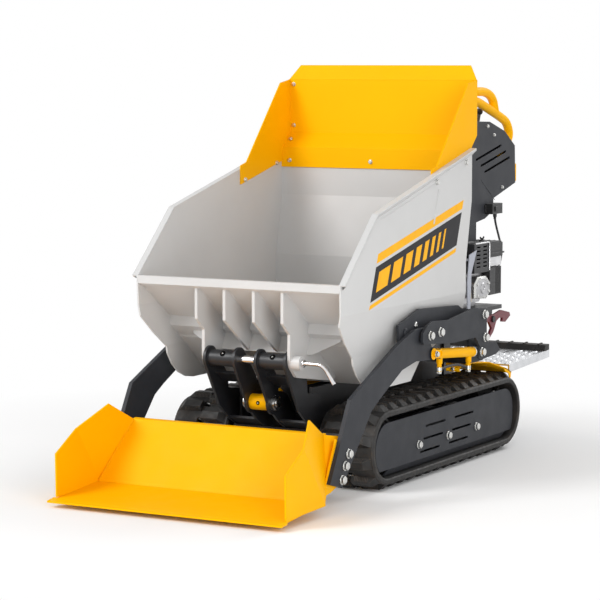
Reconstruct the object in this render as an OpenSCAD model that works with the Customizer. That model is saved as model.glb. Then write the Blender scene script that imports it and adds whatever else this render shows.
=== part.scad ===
// Tracked power carrier: mini dumper with a tipping hopper and a self-loading front shovel.
// Millimetres. Front is -Y, the machine's left is +X, up is +Z, and the ground is z = 0.
// Places along the machine are measured from the front wheel axle, and set_origin() moves
// the whole machine so that its middle stands over the origin.

/* [Tracks] */
// Length of one track link along the belt
track_pitch = 60; // [50:1:70]
// Number of links in each belt
track_links = 37; // [35:1:40]
// Width of each belt
track_w = 180; // [160:1:190]
// Distance of each belt's middle from the machine's middle
track_x = 240; // [235:1:250]
// Thickness of the belt's carcass
carcass_t = 17; // [12:1:20]
// Height of the ground lugs
lug_h = 16; // [10:1:20]
// Radius of the belt's inner surface round the end wheels
wheel_r = 88; // [80:1:92]
// Sheet thickness of the side covers
cover_t = 5; // [3:0.5:6]
// How far the side covers sit inside the belt's outer edge
cover_inset = 12; // [6:1:20]

/* [Hopper] */
// Half width over the hopper's side walls
hopper_hw = 327; // [310:1:330]
// Sheet thickness of the hopper
hopper_t = 5; // [3:0.5:7]
// Width of the folded flange along the top edges
flange_w = 14; // [8:1:15]
// Height of the hopper's rear top edge
hopper_top_z = 949; // [900:1:1000]
// Height of the front rim
rim_z = 605; // [580:1:620]
// Height of the underside of the keel
keel_z = 288; // [286:1:296]
// Thickness of the front ribs
rib_t = 9; // [6:1:12]
// Distance of the outer ribs, which carry the hinge, from the middle
rib_outer_x = 138; // [136:1:146]
// Distance of the inner ribs from the middle
rib_inner_x = 47; // [45:1:60]

/* [Tipping hinge] */
// Radius of the hinge pin
hinge_r = 11; // [9:0.5:13]
// Radius of the hinge tubes on the bracket
hinge_tube_r = 23; // [20:1:26]
// Half length of the gap between the hinge tubes
hinge_gap = 31; // [30:1:36]
// Thickness of the bracket plates
bracket_t = 8; // [6:1:10]
// Radius of the tipping ram's barrel
tip_barrel_r = 23; // [20:1:24]
// Radius of the tipping ram's rod
tip_rod_r = 12.5; // [10:0.5:14]

/* [Loader] */
// Thickness of the loader arms
arm_t = 12; // [8:1:14]
// Thickness of the link plates on both sides of each arm
link_t = 8; // [6:1:10]
// Radius of the arm pivot pins
arm_pin_r = 12; // [10:0.5:14]
// Radius of the lift rams' barrels
lift_barrel_r = 15; // [13:0.5:15]
// Radius of the lift rams' rods
lift_rod_r = 9; // [7:0.5:10]
// Half width of the shovel's lip
lip_hw = 366; // [355:1:372]
// Sheet thickness of the shovel
shovel_t = 5; // [4:0.5:7]

/* [Spill guard] */
// Height of the spill guard's top edge
guard_top_z = 1193; // [1150:1:1230]
// Sheet thickness of the spill guard
guard_t = 4; // [3:0.5:5]

/* [Rear] */
// Half width of the console
console_hw = 250; // [220:1:255]
// Sheet thickness of the console
console_t = 4; // [3:0.5:6]
// Radius of the handlebar tube
bar_r = 14; // [11:0.5:16]
// Half width of the standing platform
platform_hw = 310; // [280:1:320]
// Length of the standing platform
platform_l = 334; // [300:1:350]
// Thickness of the tread plate
platform_t = 5; // [4:0.5:8]
// Upward tilt of the lowered platform, in degrees
platform_tilt = 2.5; // [0:0.5:4]

/* [Fits] */
// Radial running clearance of pins and shafts
run_fit = 0.06; // [0.02:0.01:0.1]
// Side clearance between plates that move past each other
side_gap = 0.4; // [0.3:0.1:0.5]

/* [Hidden] */
$fn = 48;
bend_steps = 5;

// Colours
paint_grey = [0.78, 0.77, 0.75];
paint_yellow = [1.0, 0.72, 0.0];
paint_dark = [0.24, 0.25, 0.27];
paint_black = [0.08, 0.08, 0.09];
paint_red = [0.45, 0.10, 0.13];
rubber_black = [0.10, 0.09, 0.08];
zinc = [0.80, 0.80, 0.80];
chrome = [0.88, 0.88, 0.90];
alloy = [0.70, 0.70, 0.70];
paint_light = [0.62, 0.65, 0.72];

// The machine's middle lies this far behind the front wheel axle
middle_y = 249;

// Belt and wheels
pitch_r = wheel_r + carcass_t / 2;
wheelbase = (track_links * track_pitch - 2 * PI * pitch_r) / 2;
wheel_z = wheel_r + carcass_t + lug_h;
belt_r = wheel_r + carcass_t;
track_out_x = track_x + track_w / 2;
wheel_run_r = wheel_r - 0.5;
horn_in = 21;
horn_out = 35;
horn_h = 10;
disc_in = horn_out + 3;
idler_disc_out = 58;
roller_disc_out = 60;
roller_r = 30;
roller_z = carcass_t + lug_h + roller_r + 0.4;
roller_front_y = 250;
roller_rear_y = 540;
axle_r = 10;
idler_axle_r = 15;
sprocket_teeth = 10;
sprocket_shaft_r = 14;
beam_hw = 28;
beam_neck_hw = 17;
beam_low_z = 84;
beam_top_z = 162;
beam_front_y = 110;
beam_rear_y = 660;
cover_x = track_out_x - cover_inset;
cover_bolt_z = 100;
cover_bolts_y = [207, 406, 604];
motor_r = 52;

// Hopper outlines, in Y and Z
hopper_in = hopper_hw - hopper_t;
hinge_y = -220;
hinge_z = 376;
rim_y = -293;
kink_y = -98;
kink_z = 788;
rear_top_y = 542;
rear_mid_y = 504;
keel_front = [52, keel_z];
keel_rear = [182, keel_z];
floor_low = [244, 344];
floor_high = [412, 400];
// Round toe of the side walls
toe_r = 158;
toe = [-34, keel_z + toe_r];
side_outline = concat(
    [
        [rim_y, rim_z], [kink_y, kink_z], [rear_top_y, hopper_top_z], [rear_top_y, 794],
        [rear_mid_y, 610], [rear_mid_y, 470], floor_high, floor_low, keel_rear
    ],
    [for (a = [270:-15.5:208]) toe + toe_r * [cos(a), sin(a)]],
    [[-178, 392], [-238, 440], [-288, 490]]
);
// Front wall, belly, keel, floor and rear wall in one run of folded sheet
front_top = [-283, 588];
front_low = [-122, 467];
belly_top = [-104, 414];
rear_wall_drop = 14;
trough_line = [
    front_top, front_low, belly_top, keel_front, keel_rear, floor_low, floor_high,
    [rear_mid_y, 470], [rear_mid_y, 610], [rear_top_y, 794], [rear_top_y, hopper_top_z - rear_wall_drop]
];
// Sections in X and Z: the side wall, which leans in between two folds, and what it encloses
fold_top_z = 520;
fold_low_z = 395;
fold_in = 23;
wall_lap = 1;
function wall_line(x) = [
    [x - fold_in, keel_z - 10], [x - fold_in, fold_low_z], [x, fold_top_z], [x, hopper_top_z + 10]
];
wall_section = sheet(wall_line(hopper_hw), hopper_t);
half_section = wall_line(hopper_in + wall_lap);
inside_section = concat(half_section, [for (i = [3:-1:0]) [-half_section[i][0], half_section[i][1]]]);
// Folded front rim and the stiffening channel below the front wall
rim_outline = [
    [rim_y, rim_z], [rim_y, rim_z - 22], [rim_y + 14, rim_z - 30], [rim_y + 22, rim_z - 22],
    [rim_y + 20, rim_z]
];
channel_outline = [
    front_low + [3, -1], front_low + [-14, 12.5], front_low + [-21, -17], belly_top + [1, 3]
];
// Slanted lip under the channel, whose ends are cut up towards the side walls
lip_line = [[-146, 390], [-118, 446]];
lip_t = 4;
lip_front = [[-240, 480], [-240, 430], [-150, 386], [150, 386], [240, 430], [240, 480]];

// Tipping ram
tip_eye_y = -151;
tip_eye_z = 248;
tip_lug_y = 312;
tip_lug_z = 262;
tip_run = [tip_lug_y - tip_eye_y, tip_lug_z - tip_eye_z];
tip_len = norm(tip_run);
tip_angle = atan2(tip_run[1], tip_run[0]);
tip_eye_r = 23;
tip_pin_r = 12;
tip_eye_hw = hinge_gap - side_gap;
tip_barrel_end = 330;
tip_bore_start = 90;
tip_rod_start = 110;
tip_lug_hw = 22;
tip_lug_t = 8;
tip_knuckle_r = 20;

// Loader arms and links
arm_in = hopper_hw + flange_w + 5;
arm_out = arm_in + arm_t;
link_gap = 6;
inner_link_out = arm_in - link_gap;
inner_link_in = inner_link_out - link_t;
outer_link_in = arm_out + link_gap;
outer_link_out = outer_link_in + link_t;
pivot_y = 169;
pivot_z = 425;
ram_pin_y = 213;
ram_pin_z = 367;
ram_rear_y = 527;
ram_rear_z = 340;
ram_run = [ram_rear_y - ram_pin_y, ram_rear_z - ram_pin_z];
ram_len = norm(ram_run);
ram_angle = atan2(ram_run[1], ram_run[0]);
ram_mid_x = (arm_in + arm_out) / 2;
ram_pin_r = 9;
fork_t = 5;
barrel_start = 48;
barrel_end = 290;
ram_bore_start = 76;
ram_rod_start = 84;
ram_eye_hw = arm_t / 2 + link_gap - side_gap;
bracket_cheek_t = 6;
link_spacers = [[235, 429], [539, 452]];
shovel_bolts_at = [[-305, 151], [-325, 121], [-342, 85]];

// Spill guard and console
guard_fold_y = 587;
console_low = [690, 705];
console_knee = [806, 720];
console_step = [868, 780];
console_heel = [1036, 822];
console_outline = [
    [690, 1024], [836, 1020], [950, 988], [1030, 940], console_heel, console_step, [868, 742],
    console_knee, console_low
];
// Inner posts of the console, and the gap between them that the hoses run through
post_t = 5;
post_left_x = -9;
post_right_x = -90;
hose_gap = [post_right_x + post_t + 1, post_left_x - post_t - 1];
leg_t = 4;
deck_front_y = 575;
deck_rear_y = 837;
platform_y = 851;
platform_z = 250;
platform_pin_r = 8;
platform_lift = 4;
// Rubber bar on the platform's rear edge, and the rebate that it sits in
edge_bar_w = 40;
edge_bar_seat = 1;
latch_x = 296;
latch_y = 750;
latch_z = 420;
latch_t = 8;
latch_pin_r = 6;
lever_z = 890;
lever_y = 960;
lever_len = 165;
lever_r = 6;
lever_xs = [-120, -60, 60, 120];
throttle_x = 160;
throttle_y = 930;
throttle_z = 982;
throttle_pin_r = 4;

// Engine
engine_left = 290;
engine_x = 130;
crank_y = 690;
crank_z = 530;
engine_base_z = 452;
brace_x = engine_left + 2.5;
brace_t = 3;
deck_hw = brace_x + brace_t;

case_front_y = 626;
case_rear_y = 762;
case_right_x = 40;
case_left_x = 264;
case_top_z = 562;
head_top_z = 630;
fins_left_x = engine_x + 60;
fins_rear_y = 754;
carb_top_z = 604;
cowl_rear_y = 851;
fan_r = 76;
recoil_r = 62;
recoil_y = 812;
grip_x = engine_x + 40;
grip_z = crank_z + 30;
grip_stem_r = 7;

// Throttle cable route from the switch box to the engine's cowl, and its radius
cable_r = 4;
switch_low_z = 734;
cable_route = [
    [262, 854, switch_low_z], [262, 854, 720], [261, 862, 703], [257, 882, 682], [252, 906, 660],
    [247, 930, 636], [244, 946, 612], [243, 946, 592], [246, 932, 576], [251, 910, 565],
    [256, 888, 560], [260, 868, 558], [260, cowl_rear_y, 558]
];

// Shared shapes

module set_origin() {
    translate([0, -middle_y, 0]) children();
}

module both_sides() {
    children();
    mirror([1, 0, 0]) children();
}

// A flat plate with an outline in Y and Z, between two places along X
module plate_x(outline, x0, x1) {
    translate([x0, 0, 0]) rotate([90, 0, 90]) linear_extrude(x1 - x0) polygon(outline);
}

// A round bar along X
module bar_x(y, z, r, x0, x1) {
    translate([x0, y, z]) rotate([0, 90, 0]) cylinder(r = r, h = x1 - x0);
}

// A round bar along Y
module bar_y(x, z, r, y0, y1) {
    translate([x, y0, z]) rotate([-90, 0, 0]) cylinder(r = r, h = y1 - y0);
}

// A path with each corner rounded off by a curve that starts bend short of it
function rounded(path, bend) = [for (i = [0:len(path) - 1])
    let (last = len(path) - 1, b = path[i])
    for (k = i == 0 || i == last ? [0] : [0:bend_steps])
        i == 0 || i == last ? b
        : let (
            t = k / bend_steps,
            a = b + unit(path[i - 1] - b) * min(bend, 0.48 * norm(path[i - 1] - b)),
            c = b + unit(path[i + 1] - b) * min(bend, 0.48 * norm(path[i + 1] - b))
        ) (1 - t) * (1 - t) * a + 2 * t * (1 - t) * b + t * t * c];
function path_dir(path, i) = unit(path[min(i + 1, len(path) - 1)] - path[max(i - 1, 0)]);
// A side direction for every point, carried along the path without twisting
function path_sides(path, u, i = 0) = i == len(path) ? []
    : let (d = path_dir(path, i), v = unit(u - (u * d) * d)) concat([v], path_sides(path, v, i + 1));

// A round bar swept along a path
module swept_bar(path, r, sides) {
    start = abs(path_dir(path, 0)[0]) < 0.9 ? [1, 0, 0] : [0, 0, 1];
    across = path_sides(path, start);
    points = [for (i = [0:len(path) - 1])
        let (w = cross(path_dir(path, i), across[i]))
        for (k = [0:sides - 1])
            path[i] + r * (cos(360 * k / sides) * across[i] + sin(360 * k / sides) * w)];
    last = (len(path) - 1) * sides;
    polyhedron(points = points, faces = concat(
        [[for (k = [0:sides - 1]) k]],
        [[for (k = [sides - 1:-1:0]) last + k]],
        [for (i = [0:len(path) - 2]) for (k = [0:sides - 1])
            let (a = i * sides + k, b = i * sides + (k + 1) % sides)
            each [[b, a, a + sides], [b, a + sides, b + sides]]]
    ));
}

// A hexagon bolt along +X with a washer, its head's seat at the given place
module bolt_x(x, y, z, r) {
    bar_x(y, z, r * 1.15, x, x + r * 0.25);
    translate([x + r * 0.25, y, z]) rotate([0, 90, 0]) cylinder(r = r, h = r * 0.75, $fn = 6);
}

// Lays what is drawn along +X at an angle in the Y-Z plane, from a starting point
module along(y, z, angle) {
    translate([0, y, z]) rotate([angle, 0, 0]) rotate([0, 0, 90]) children();
}

function unit(v) = v / norm(v);
// Height of a straight line between two points of an outline, at a place along it
function line_z(a, b, y) = a[1] + (b[1] - a[1]) * (y - a[0]) / (b[0] - a[0]);
function left_of(v) = [-v[1], v[0]];
function side_at(line, i) =
    let (
        last = len(line) - 1,
        before = left_of(unit(line[max(i, 1)] - line[max(i, 1) - 1])),
        after = left_of(unit(line[min(i, last - 1) + 1] - line[min(i, last - 1)]))
    )
    (before + after) / (1 + before * after);
// The outline of a folded sheet: a line, and the same line one thickness to its left
function sheet(line, t) = concat(
    line, [for (i = [len(line) - 1:-1:0]) line[i] + t * side_at(line, i)]
);

// Tracks

// Stands what is drawn at a distance along the belt, with +Y pointing out of the loop
module on_belt(s) {
    arc = PI * pitch_r;
    lap = 2 * wheelbase + 2 * arc;
    d = s - floor(s / lap) * lap;
    turn = 180 / arc;
    place = d < wheelbase ? [d, -90]
        : d < wheelbase + arc ? [wheelbase, (d - wheelbase) * turn - 90]
        : d < 2 * wheelbase + arc ? [2 * wheelbase + arc - d, 90]
        : [0, 90 + (d - 2 * wheelbase - arc) * turn];
    translate([0, place[0], wheel_z]) rotate([place[1], 0, 0]) children();
}

module loop_solid(r, x0, x1) {
    bar_x(0, wheel_z, r, x0, x1);
    bar_x(wheelbase, wheel_z, r, x0, x1);
    translate([x0, 0, wheel_z - r]) cube([x1 - x0, wheelbase, 2 * r]);
}

// One ground lug, tapered towards the ground, over a stretch of the belt's width
module ground_lug(x0, x1) {
    root = 17;
    tip = 12;
    sink = 3;
    translate([x0, 0, 0]) rotate([90, 0, 90]) linear_extrude(x1 - x0) polygon([
        [belt_r - sink, -root], [belt_r + lug_h, -tip], [belt_r + lug_h, tip], [belt_r - sink, root]
    ]);
}

module track_belt() {
    half = track_w / 2;
    window_hw = 13;
    window_l = 22;
    middle_gap = 6;
    below = 20;
    color(rubber_black) translate([track_x, 0, 0]) difference() {
        union() {
            difference() {
                loop_solid(belt_r, -half, half);
                loop_solid(wheel_r, -half - 1, half + 1);
            }
            for (i = [0:track_links - 1]) {
                on_belt(i * track_pitch) ground_lug(middle_gap, half);
                on_belt((i + 0.5) * track_pitch) ground_lug(-half, -middle_gap);
                on_belt((i + 0.25) * track_pitch) for (side = [-horn_out, horn_in])
                    translate([side, wheel_r - horn_h, -8]) cube([horn_out - horn_in, horn_h + 2, 16]);
            }
        }
        for (i = [0:track_links - 1]) on_belt((i + 0.75) * track_pitch)
            translate([-window_hw, wheel_r - 4, -window_l / 2])
                cube([2 * window_hw, carcass_t + lug_h, window_l]);
        // Lugs that stand on the ground are flat there
        translate([-half - 1, -wheel_z, -below]) cube([track_w + 2, wheelbase + 2 * wheel_z, below]);
    }
}

module sprocket() {
    tooth_hw = 15;
    root_r = wheel_run_r - 20;
    color(alloy) translate([track_x, wheelbase, wheel_z]) {
        rotate([0, 90, 0]) translate([0, 0, -tooth_hw]) linear_extrude(2 * tooth_hw)
            polygon([for (i = [0:4 * sprocket_teeth - 1])
                let (a = 360 * (floor(i / 4) + [-0.32, -0.14, 0.14, 0.32][i % 4]) / sprocket_teeth)
                let (r = [root_r, wheel_run_r, wheel_run_r, root_r][i % 4])
                [r * cos(a), r * sin(a)]]);
        bar_x(0, 0, 38, -tooth_hw - 14, tooth_hw + 8);
        bar_x(0, 0, sprocket_shaft_r, -90, -tooth_hw);
    }
}

module twin_wheel(y, z, r, disc_out, shaft_r) {
    color(alloy) translate([track_x, y, z]) {
        for (side = [0, 1]) mirror([side, 0, 0]) {
            difference() {
                bar_x(0, 0, r, disc_in, disc_out);
                bar_x(0, 0, r - 8, disc_out - 6, disc_out + 1);
            }
            bar_x(0, 0, shaft_r + 8, beam_neck_hw + side_gap, disc_out);
        }
        bar_x(0, 0, shaft_r, -disc_out, disc_out);
    }
}

module idler() twin_wheel(0, wheel_z, wheel_run_r, idler_disc_out, idler_axle_r);
module roller_front() twin_wheel(roller_front_y, roller_z, roller_r, roller_disc_out, axle_r);
module roller_rear() twin_wheel(roller_rear_y, roller_z, roller_r, roller_disc_out, axle_r);

// Roller beam with its idler fork, roller lugs, cross tubes and the drive motor
module track_frame() {
    rail_x = 120;
    color(paint_black) difference() {
        union() {
            translate([track_x - beam_hw, beam_front_y, beam_low_z])
                cube([2 * beam_hw, beam_rear_y - beam_front_y, beam_top_z - beam_low_z]);
            plate_x([[beam_front_y + 1, beam_low_z + 8], [beam_front_y + 1, beam_top_z - 8],
                [0, wheel_z + 26], [-26, wheel_z], [0, wheel_z - 26]],
                track_x - beam_neck_hw, track_x + beam_neck_hw);
            for (y = [roller_front_y, roller_rear_y])
                plate_x([[y - 34, beam_low_z + 1], [y - 13, roller_z - 14], [y + 13, roller_z - 14],
                    [y + 34, beam_low_z + 1]], track_x - beam_neck_hw, track_x + beam_neck_hw);
            for (y = [140, 600]) translate([rail_x, y, 95]) cube([track_x - beam_hw - rail_x + 1, 44, 50]);
            bar_x(wheelbase, wheel_z, motor_r, rail_x, track_x - 35);
            plate_x([[beam_rear_y - 40, beam_low_z + 4], [wheelbase, wheel_z - motor_r],
                [wheelbase, wheel_z + motor_r], [beam_rear_y - 40, beam_top_z]],
                track_x - 50, track_x - 36);
        }
        bar_x(0, wheel_z, idler_axle_r + run_fit, track_x - 60, track_x + 60);
        for (y = [roller_front_y, roller_rear_y])
            bar_x(y, roller_z, axle_r + run_fit, track_x - 60, track_x + 60);
        bar_x(wheelbase, wheel_z, sprocket_shaft_r + run_fit, track_x - 91, track_x);
    }
}

// Side cover with its folded lower edge, six slots and the bosses of its three bolts
module track_cover() {
    low_z = 36;
    top_z = 190;
    fold_z = 56;
    round_r = (top_z - low_z) / 2;
    end_y = 876;
    corner_r = 62;
    front_y = 12;
    slot_l = 132;
    slot_w = 7;
    slot_rows = [[256, 148], [452, 148], [240, 112], [434, 112], [218, 76], [414, 76]];
    beam_out = track_x + beam_hw;
    color(paint_dark) difference() {
        union() {
            intersection() {
                union() {
                    bar_x(front_y, low_z + round_r, round_r, cover_x - cover_t, cover_x);
                    translate([cover_x - cover_t, front_y, low_z])
                        cube([cover_t, end_y - corner_r - front_y, top_z - low_z]);
                    for (z = [low_z + corner_r, top_z - corner_r])
                        bar_x(end_y - corner_r, z, corner_r, cover_x - cover_t, cover_x);
                    translate([cover_x - cover_t, end_y - corner_r, low_z + corner_r])
                        cube([cover_t, corner_r, top_z - low_z - 2 * corner_r]);
                }
                translate([cover_x - cover_t, -100, fold_z]) cube([cover_t, 1100, 200]);
            }
            rotate([90, 0, 0]) translate([0, 0, -end_y + corner_r]) linear_extrude(end_y - corner_r - front_y)
                polygon([[cover_x, fold_z], [cover_x - 12, low_z + 1], [cover_x - 12 - cover_t, low_z + 1],
                    [cover_x - cover_t, fold_z]]);
            for (y = cover_bolts_y) bar_x(y, cover_bolt_z, 9, beam_out, cover_x - 1);
        }
        for (at = slot_rows) {
            translate([cover_x - cover_t - 1, at[0], at[1] - slot_w / 2]) cube([cover_t + 2, slot_l, slot_w]);
        }
    }
}

// Chassis

module chassis_frame() {
    rail_in = 95;
    rail_out = 120;
    rail_low = 92;
    rail_top = 205;
    deck_t = 12;
    deck_z = engine_base_z - deck_t;
    lug_w = 20;
    color(paint_black) {
        both_sides() {
            plate_x([[-70, rail_low], [-70, 150], [10, rail_top], [860, rail_top], [860, rail_low]],
                rail_in, rail_out);
            // Side wall with the cross bar that carries the link plates
            plate_x([[260, rail_top - 5], [260, 300], [300, 330], [640, 330], [640, rail_top - 5]],
                rail_in, rail_out);
            translate([rail_out - 2, 510, 303]) cube([inner_link_in - rail_out + 2, 40, 27]);
            // Engine stands
            plate_x([[590, 329], [590, deck_z + 1], [640, deck_z + 1], [640, 329]], rail_in, rail_out);
            plate_x([[790, rail_top - 5], [790, deck_z + 1], [835, deck_z + 1], [835, rail_top - 5]],
                rail_in, rail_out);
            // Lug of the platform hinge
            difference() {
                plate_x([[836, rail_top - 1], [836, platform_z], [843, platform_z + 14],
                    [859, platform_z + 14], [866, platform_z], [860, rail_top - 1]], rail_out - lug_w, rail_out);
                bar_x(platform_y, platform_z, platform_pin_r + run_fit, rail_in, rail_out + 1);
            }
        }
        translate([-rail_out, -70, rail_low]) cube([2 * rail_out, 16, 60]);
        translate([-rail_out, 420, rail_low]) cube([2 * rail_out, 60, 60]);
        translate([-rail_out, 840, rail_low]) cube([2 * rail_out, 20, rail_top - rail_low]);
        difference() {
            translate([-deck_hw, deck_front_y, deck_z])
                cube([2 * deck_hw, deck_rear_y - deck_front_y, deck_t]);
            translate([hose_gap[0], 640, deck_z - 1]) cube([hose_gap[1] - hose_gap[0], 60, deck_t + 2]);
        }
        // Bracket and pin of the platform's latch
        plate_x([[latch_y - 16, deck_z + 1], [latch_y + 16, deck_z + 1], [latch_y + 10, latch_z - 16],
            [latch_y - 10, latch_z - 16]], latch_x - side_gap - 7, latch_x - side_gap);
        bar_x(latch_y, latch_z - 6, latch_pin_r, latch_x - side_gap - 1, latch_x + latch_t + side_gap + 1);
        bar_x(latch_y, latch_z - 6, latch_pin_r + 4, latch_x + latch_t + side_gap, latch_x + latch_t + 6);
    }
}

// Four bracket plates with two hinge tubes, webs and the ram's lower cheeks
module front_bracket() {
    end_r = 33;
    foot_hw = 94;
    outer_x = rib_outer_x - rib_t / 2 - side_gap;
    inner_x = hinge_gap + bracket_t;
    body = [
        [hinge_y - 29, hinge_z - 16], [hinge_y + 18, hinge_z + 27], [-128, 318], [-124, 278],
        [-60, 270], [-20, 200], [-40, 153], [-54, 153], [-120, 190], [-172, 232]
    ];
    color(paint_black) difference() {
        union() {
            both_sides() {
                for (x = [hinge_gap, outer_x - bracket_t]) {
                    plate_x(body, x, x + bracket_t);
                    bar_x(hinge_y, hinge_z, end_r, x, x + bracket_t);
                }
                bar_x(tip_eye_y, tip_eye_z, end_r, hinge_gap, inner_x);
                bar_x(hinge_y, hinge_z, hinge_tube_r, hinge_gap, outer_x);
                // Webs between the plates of each pair, notched below
                plate_x([[-196, 330], [-150, 300], [-146, 306], [-192, 336]], inner_x - 1, outer_x - bracket_t + 1);
                plate_x([[-120, 192], [-60, 160], [-56, 166], [-116, 198]], inner_x - 1, outer_x - bracket_t + 1);
            }
            // Foot plate on the frame's front cross member
            translate([-outer_x, -82, 105]) cube([2 * outer_x, 12, 62]);
            plate_x([[-82, 165], [-54, 165], [-54, 152], [-70, 152], [-70, 120], [-82, 120]], -foot_hw, foot_hw);
        }
        bar_x(hinge_y, hinge_z, hinge_r + run_fit, -outer_x - 1, outer_x + 1);
        bar_x(tip_eye_y, tip_eye_z, tip_pin_r + run_fit, -inner_x - 1, inner_x + 1);
    }
}

module tip_ram_pin() {
    out = hinge_gap + bracket_t;
    collar = 14;
    color(zinc) {
        bar_x(tip_eye_y, tip_eye_z, tip_pin_r, -out - collar, out + collar);
        both_sides() difference() {
            bar_x(tip_eye_y, tip_eye_z, tip_pin_r + 9, out, out + collar - 2);
            translate([out + 6, tip_eye_y, tip_eye_z]) cylinder(r = 3, h = 40);
        }
    }
}

// Folded mudguards over the rear of both belts
module fenders() {
    in_x = 120;
    out_x = track_x + 86;
    t = 3;
    // In front of the web, only a strip along the outer edge is left
    strip_x = 282;
    web_y = 740;
    line = [[559, 306], [679, 290], [722, 279], [809, 256], [833, 246], [845, 241]];
    color(paint_yellow) both_sides() {
        difference() {
            plate_x(sheet(line, t), in_x, out_x);
            translate([in_x - 1, line[0][0] - 1, line[3][1]])
                cube([strip_x - in_x + 1, web_y - line[0][0], 80]);
        }
        plate_x([[web_y + 4, 275], [web_y + 4, 252], [790, 246], [809, 250], line[3] + [0, 1]], in_x, in_x + t);
        // Outer skirt
        plate_x(concat([for (i = [0:3]) line[i] + [0, 1]], [[790, 248], [700, 262], [559, 284]]),
            out_x - t, out_x);
    }
}

// Link plates on both sides of each arm, with pivot bosses and the lift ram's rear bracket
module link_plates() {
    inner = [
        [31, 466], [37, 404], [120, 403], [169, 402], [235, 396], [330, 391], [500, 390], [512, 305], [600, 305],
        [640, 330], [632, 362], [566, 376], [552, 450], [532, 466], [470, 474], [446, 478],
        [426, 488], [165, 501]
    ];
    outer = [
        [130, 403], [122, 412], [124, 436], [150, 454], [189, 465], [295, 458], [467, 477],
        [538, 471], [558, 452], [560, 378], [576, 376], [560, 352], [512, 356], [480, 388], [330, 388],
        [235, 395], [169, 401]
    ];
    cheek = [[508, 322], [508, 358], [514, 364], [632, 360], [662, 332], [630, 322], [524, 316]];
    boss_r = 21;
    spacer_r = 14;
    color(paint_dark) both_sides() difference() {
        union() {
            plate_x(inner, inner_link_in, inner_link_out);
            plate_x(outer, outer_link_in, outer_link_out);
            bar_x(pivot_y, pivot_z, boss_r, inner_link_out - 1, arm_in - side_gap);
            bar_x(pivot_y, pivot_z, boss_r, arm_out + side_gap, outer_link_in + 1);
            // Spacers that tie the two plates together behind the arm
            for (at = link_spacers) bar_x(at[0], at[1], spacer_r, inner_link_out - 1, outer_link_in + 1);
            // Outer cheek of the lift ram's rear bracket, and the block that joins it to the inner plate
            plate_x(cheek, outer_link_in, outer_link_in + bracket_cheek_t);
            translate([inner_link_out - 2, 596, 326])
                cube([outer_link_in + bracket_cheek_t - inner_link_out + 2, 30, 34]);
        }
        bar_x(pivot_y, pivot_z, arm_pin_r + run_fit, inner_link_in - 1, outer_link_out + 1);
    }
}

// Arm pivot pins, link bolts and cover bolts
module frame_bolts() {
    head_r = 12;
    color(zinc) both_sides() {
        bar_x(pivot_y, pivot_z, arm_pin_r, inner_link_in, outer_link_out);
        for (at = concat([[pivot_y, pivot_z], [546, 382]], link_spacers))
            bolt_x(outer_link_out, at[0], at[1], head_r);
        bolt_x(outer_link_in + bracket_cheek_t, ram_rear_y, ram_rear_z, head_r);
        for (y = cover_bolts_y) bolt_x(cover_x, y, cover_bolt_z, head_r - 1);
    }
}

// Engine and hydraulics

module engine_block() {
    fin_n = 7;
    fin_pitch = 9;
    color(alloy) {
        // Crankcase with its chamfered side cover
        plate_x([[case_front_y, 470], [case_front_y, 545], [650, case_top_z], [735, case_top_z],
            [case_rear_y, 548], [case_rear_y, 490], [735, 468]], case_right_x, case_left_x);
        plate_x([[640, 486], [640, 530], [664, 550], [724, 550], [752, 530], [752, 496], [728, 480]],
            case_left_x - 1, engine_left);
        translate([case_right_x, 620, engine_base_z]) cube([200, case_rear_y - 620, 19]);
        // Cylinder with cooling fins
        translate([engine_x - 60, 636, case_top_z - 2]) cube([110, 110, head_top_z - case_top_z + 2]);
        for (i = [0:fin_n - 1]) translate([engine_x - 70, 628, case_top_z + 4 + fin_pitch * i])
            cube([fins_left_x - engine_x + 70, fins_rear_y - 628, 4]);
        bar_y(engine_x, crank_z, 14, 600, case_front_y + 4);
    }
}

module fan_housing() {
    back_y = 796;
    front_y = 766;
    cowl_z = [486, 571];
    ribs = 5;
    color(paint_black) difference() {
        union() {
            bar_y(engine_x, crank_z, 16, case_rear_y, front_y + 1);
            bar_y(engine_x, crank_z, fan_r, front_y, back_y);
            bar_y(engine_x, crank_z, recoil_r, back_y - 1, recoil_y);
            // Ribbed side cowl
            translate([fins_left_x, front_y, cowl_z[0]])
                cube([engine_left - 4 - fins_left_x, 40, cowl_z[1] - cowl_z[0]]);
            translate([engine_left - 54, front_y + 39, cowl_z[0]])
                cube([50, cowl_rear_y - front_y - 39, cowl_z[1] - cowl_z[0]]);
        }
        for (i = [0:15]) translate([engine_x, 0, crank_z]) rotate([0, i * 22.5, 0])
            translate([24, recoil_y - 4, -3]) cube([18, 6, 6]);
        for (i = [0:ribs - 1]) translate([engine_left - 10, front_y + 44 + 8 * i, cowl_z[0] - 1])
            cube([20, 4, cowl_z[1] - cowl_z[0] + 2]);
        bar_y(grip_x, grip_z, grip_stem_r + run_fit, recoil_y - 12, recoil_y + 1);
    }
}

module recoil_grip() {
    color(paint_black) {
        bar_y(grip_x, grip_z, grip_stem_r, recoil_y - 11, recoil_y + 2);
        translate([grip_x - 30, recoil_y + 0.3, grip_z - 8]) cube([60, 16, 16]);
    }
}

module fuel_tank() {
    w = 186;
    l = 170;
    h = 46;
    wall = 6;
    rim = 6;
    front_y = 640;
    color(paint_black) difference() {
        union() {
            translate([0, front_y, head_top_z]) cube([w, l, h]);
            translate([-rim, front_y - rim, head_top_z + 20]) cube([w + 2 * rim, l + 2 * rim, 5]);
            translate([w / 2, front_y + l / 2, head_top_z + h - 1]) cylinder(r = 26, h = 16);
        }
        translate([wall, front_y + wall, head_top_z + wall])
            cube([w - 2 * wall, l - 2 * wall, h - 2 * wall]);
    }
}

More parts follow.
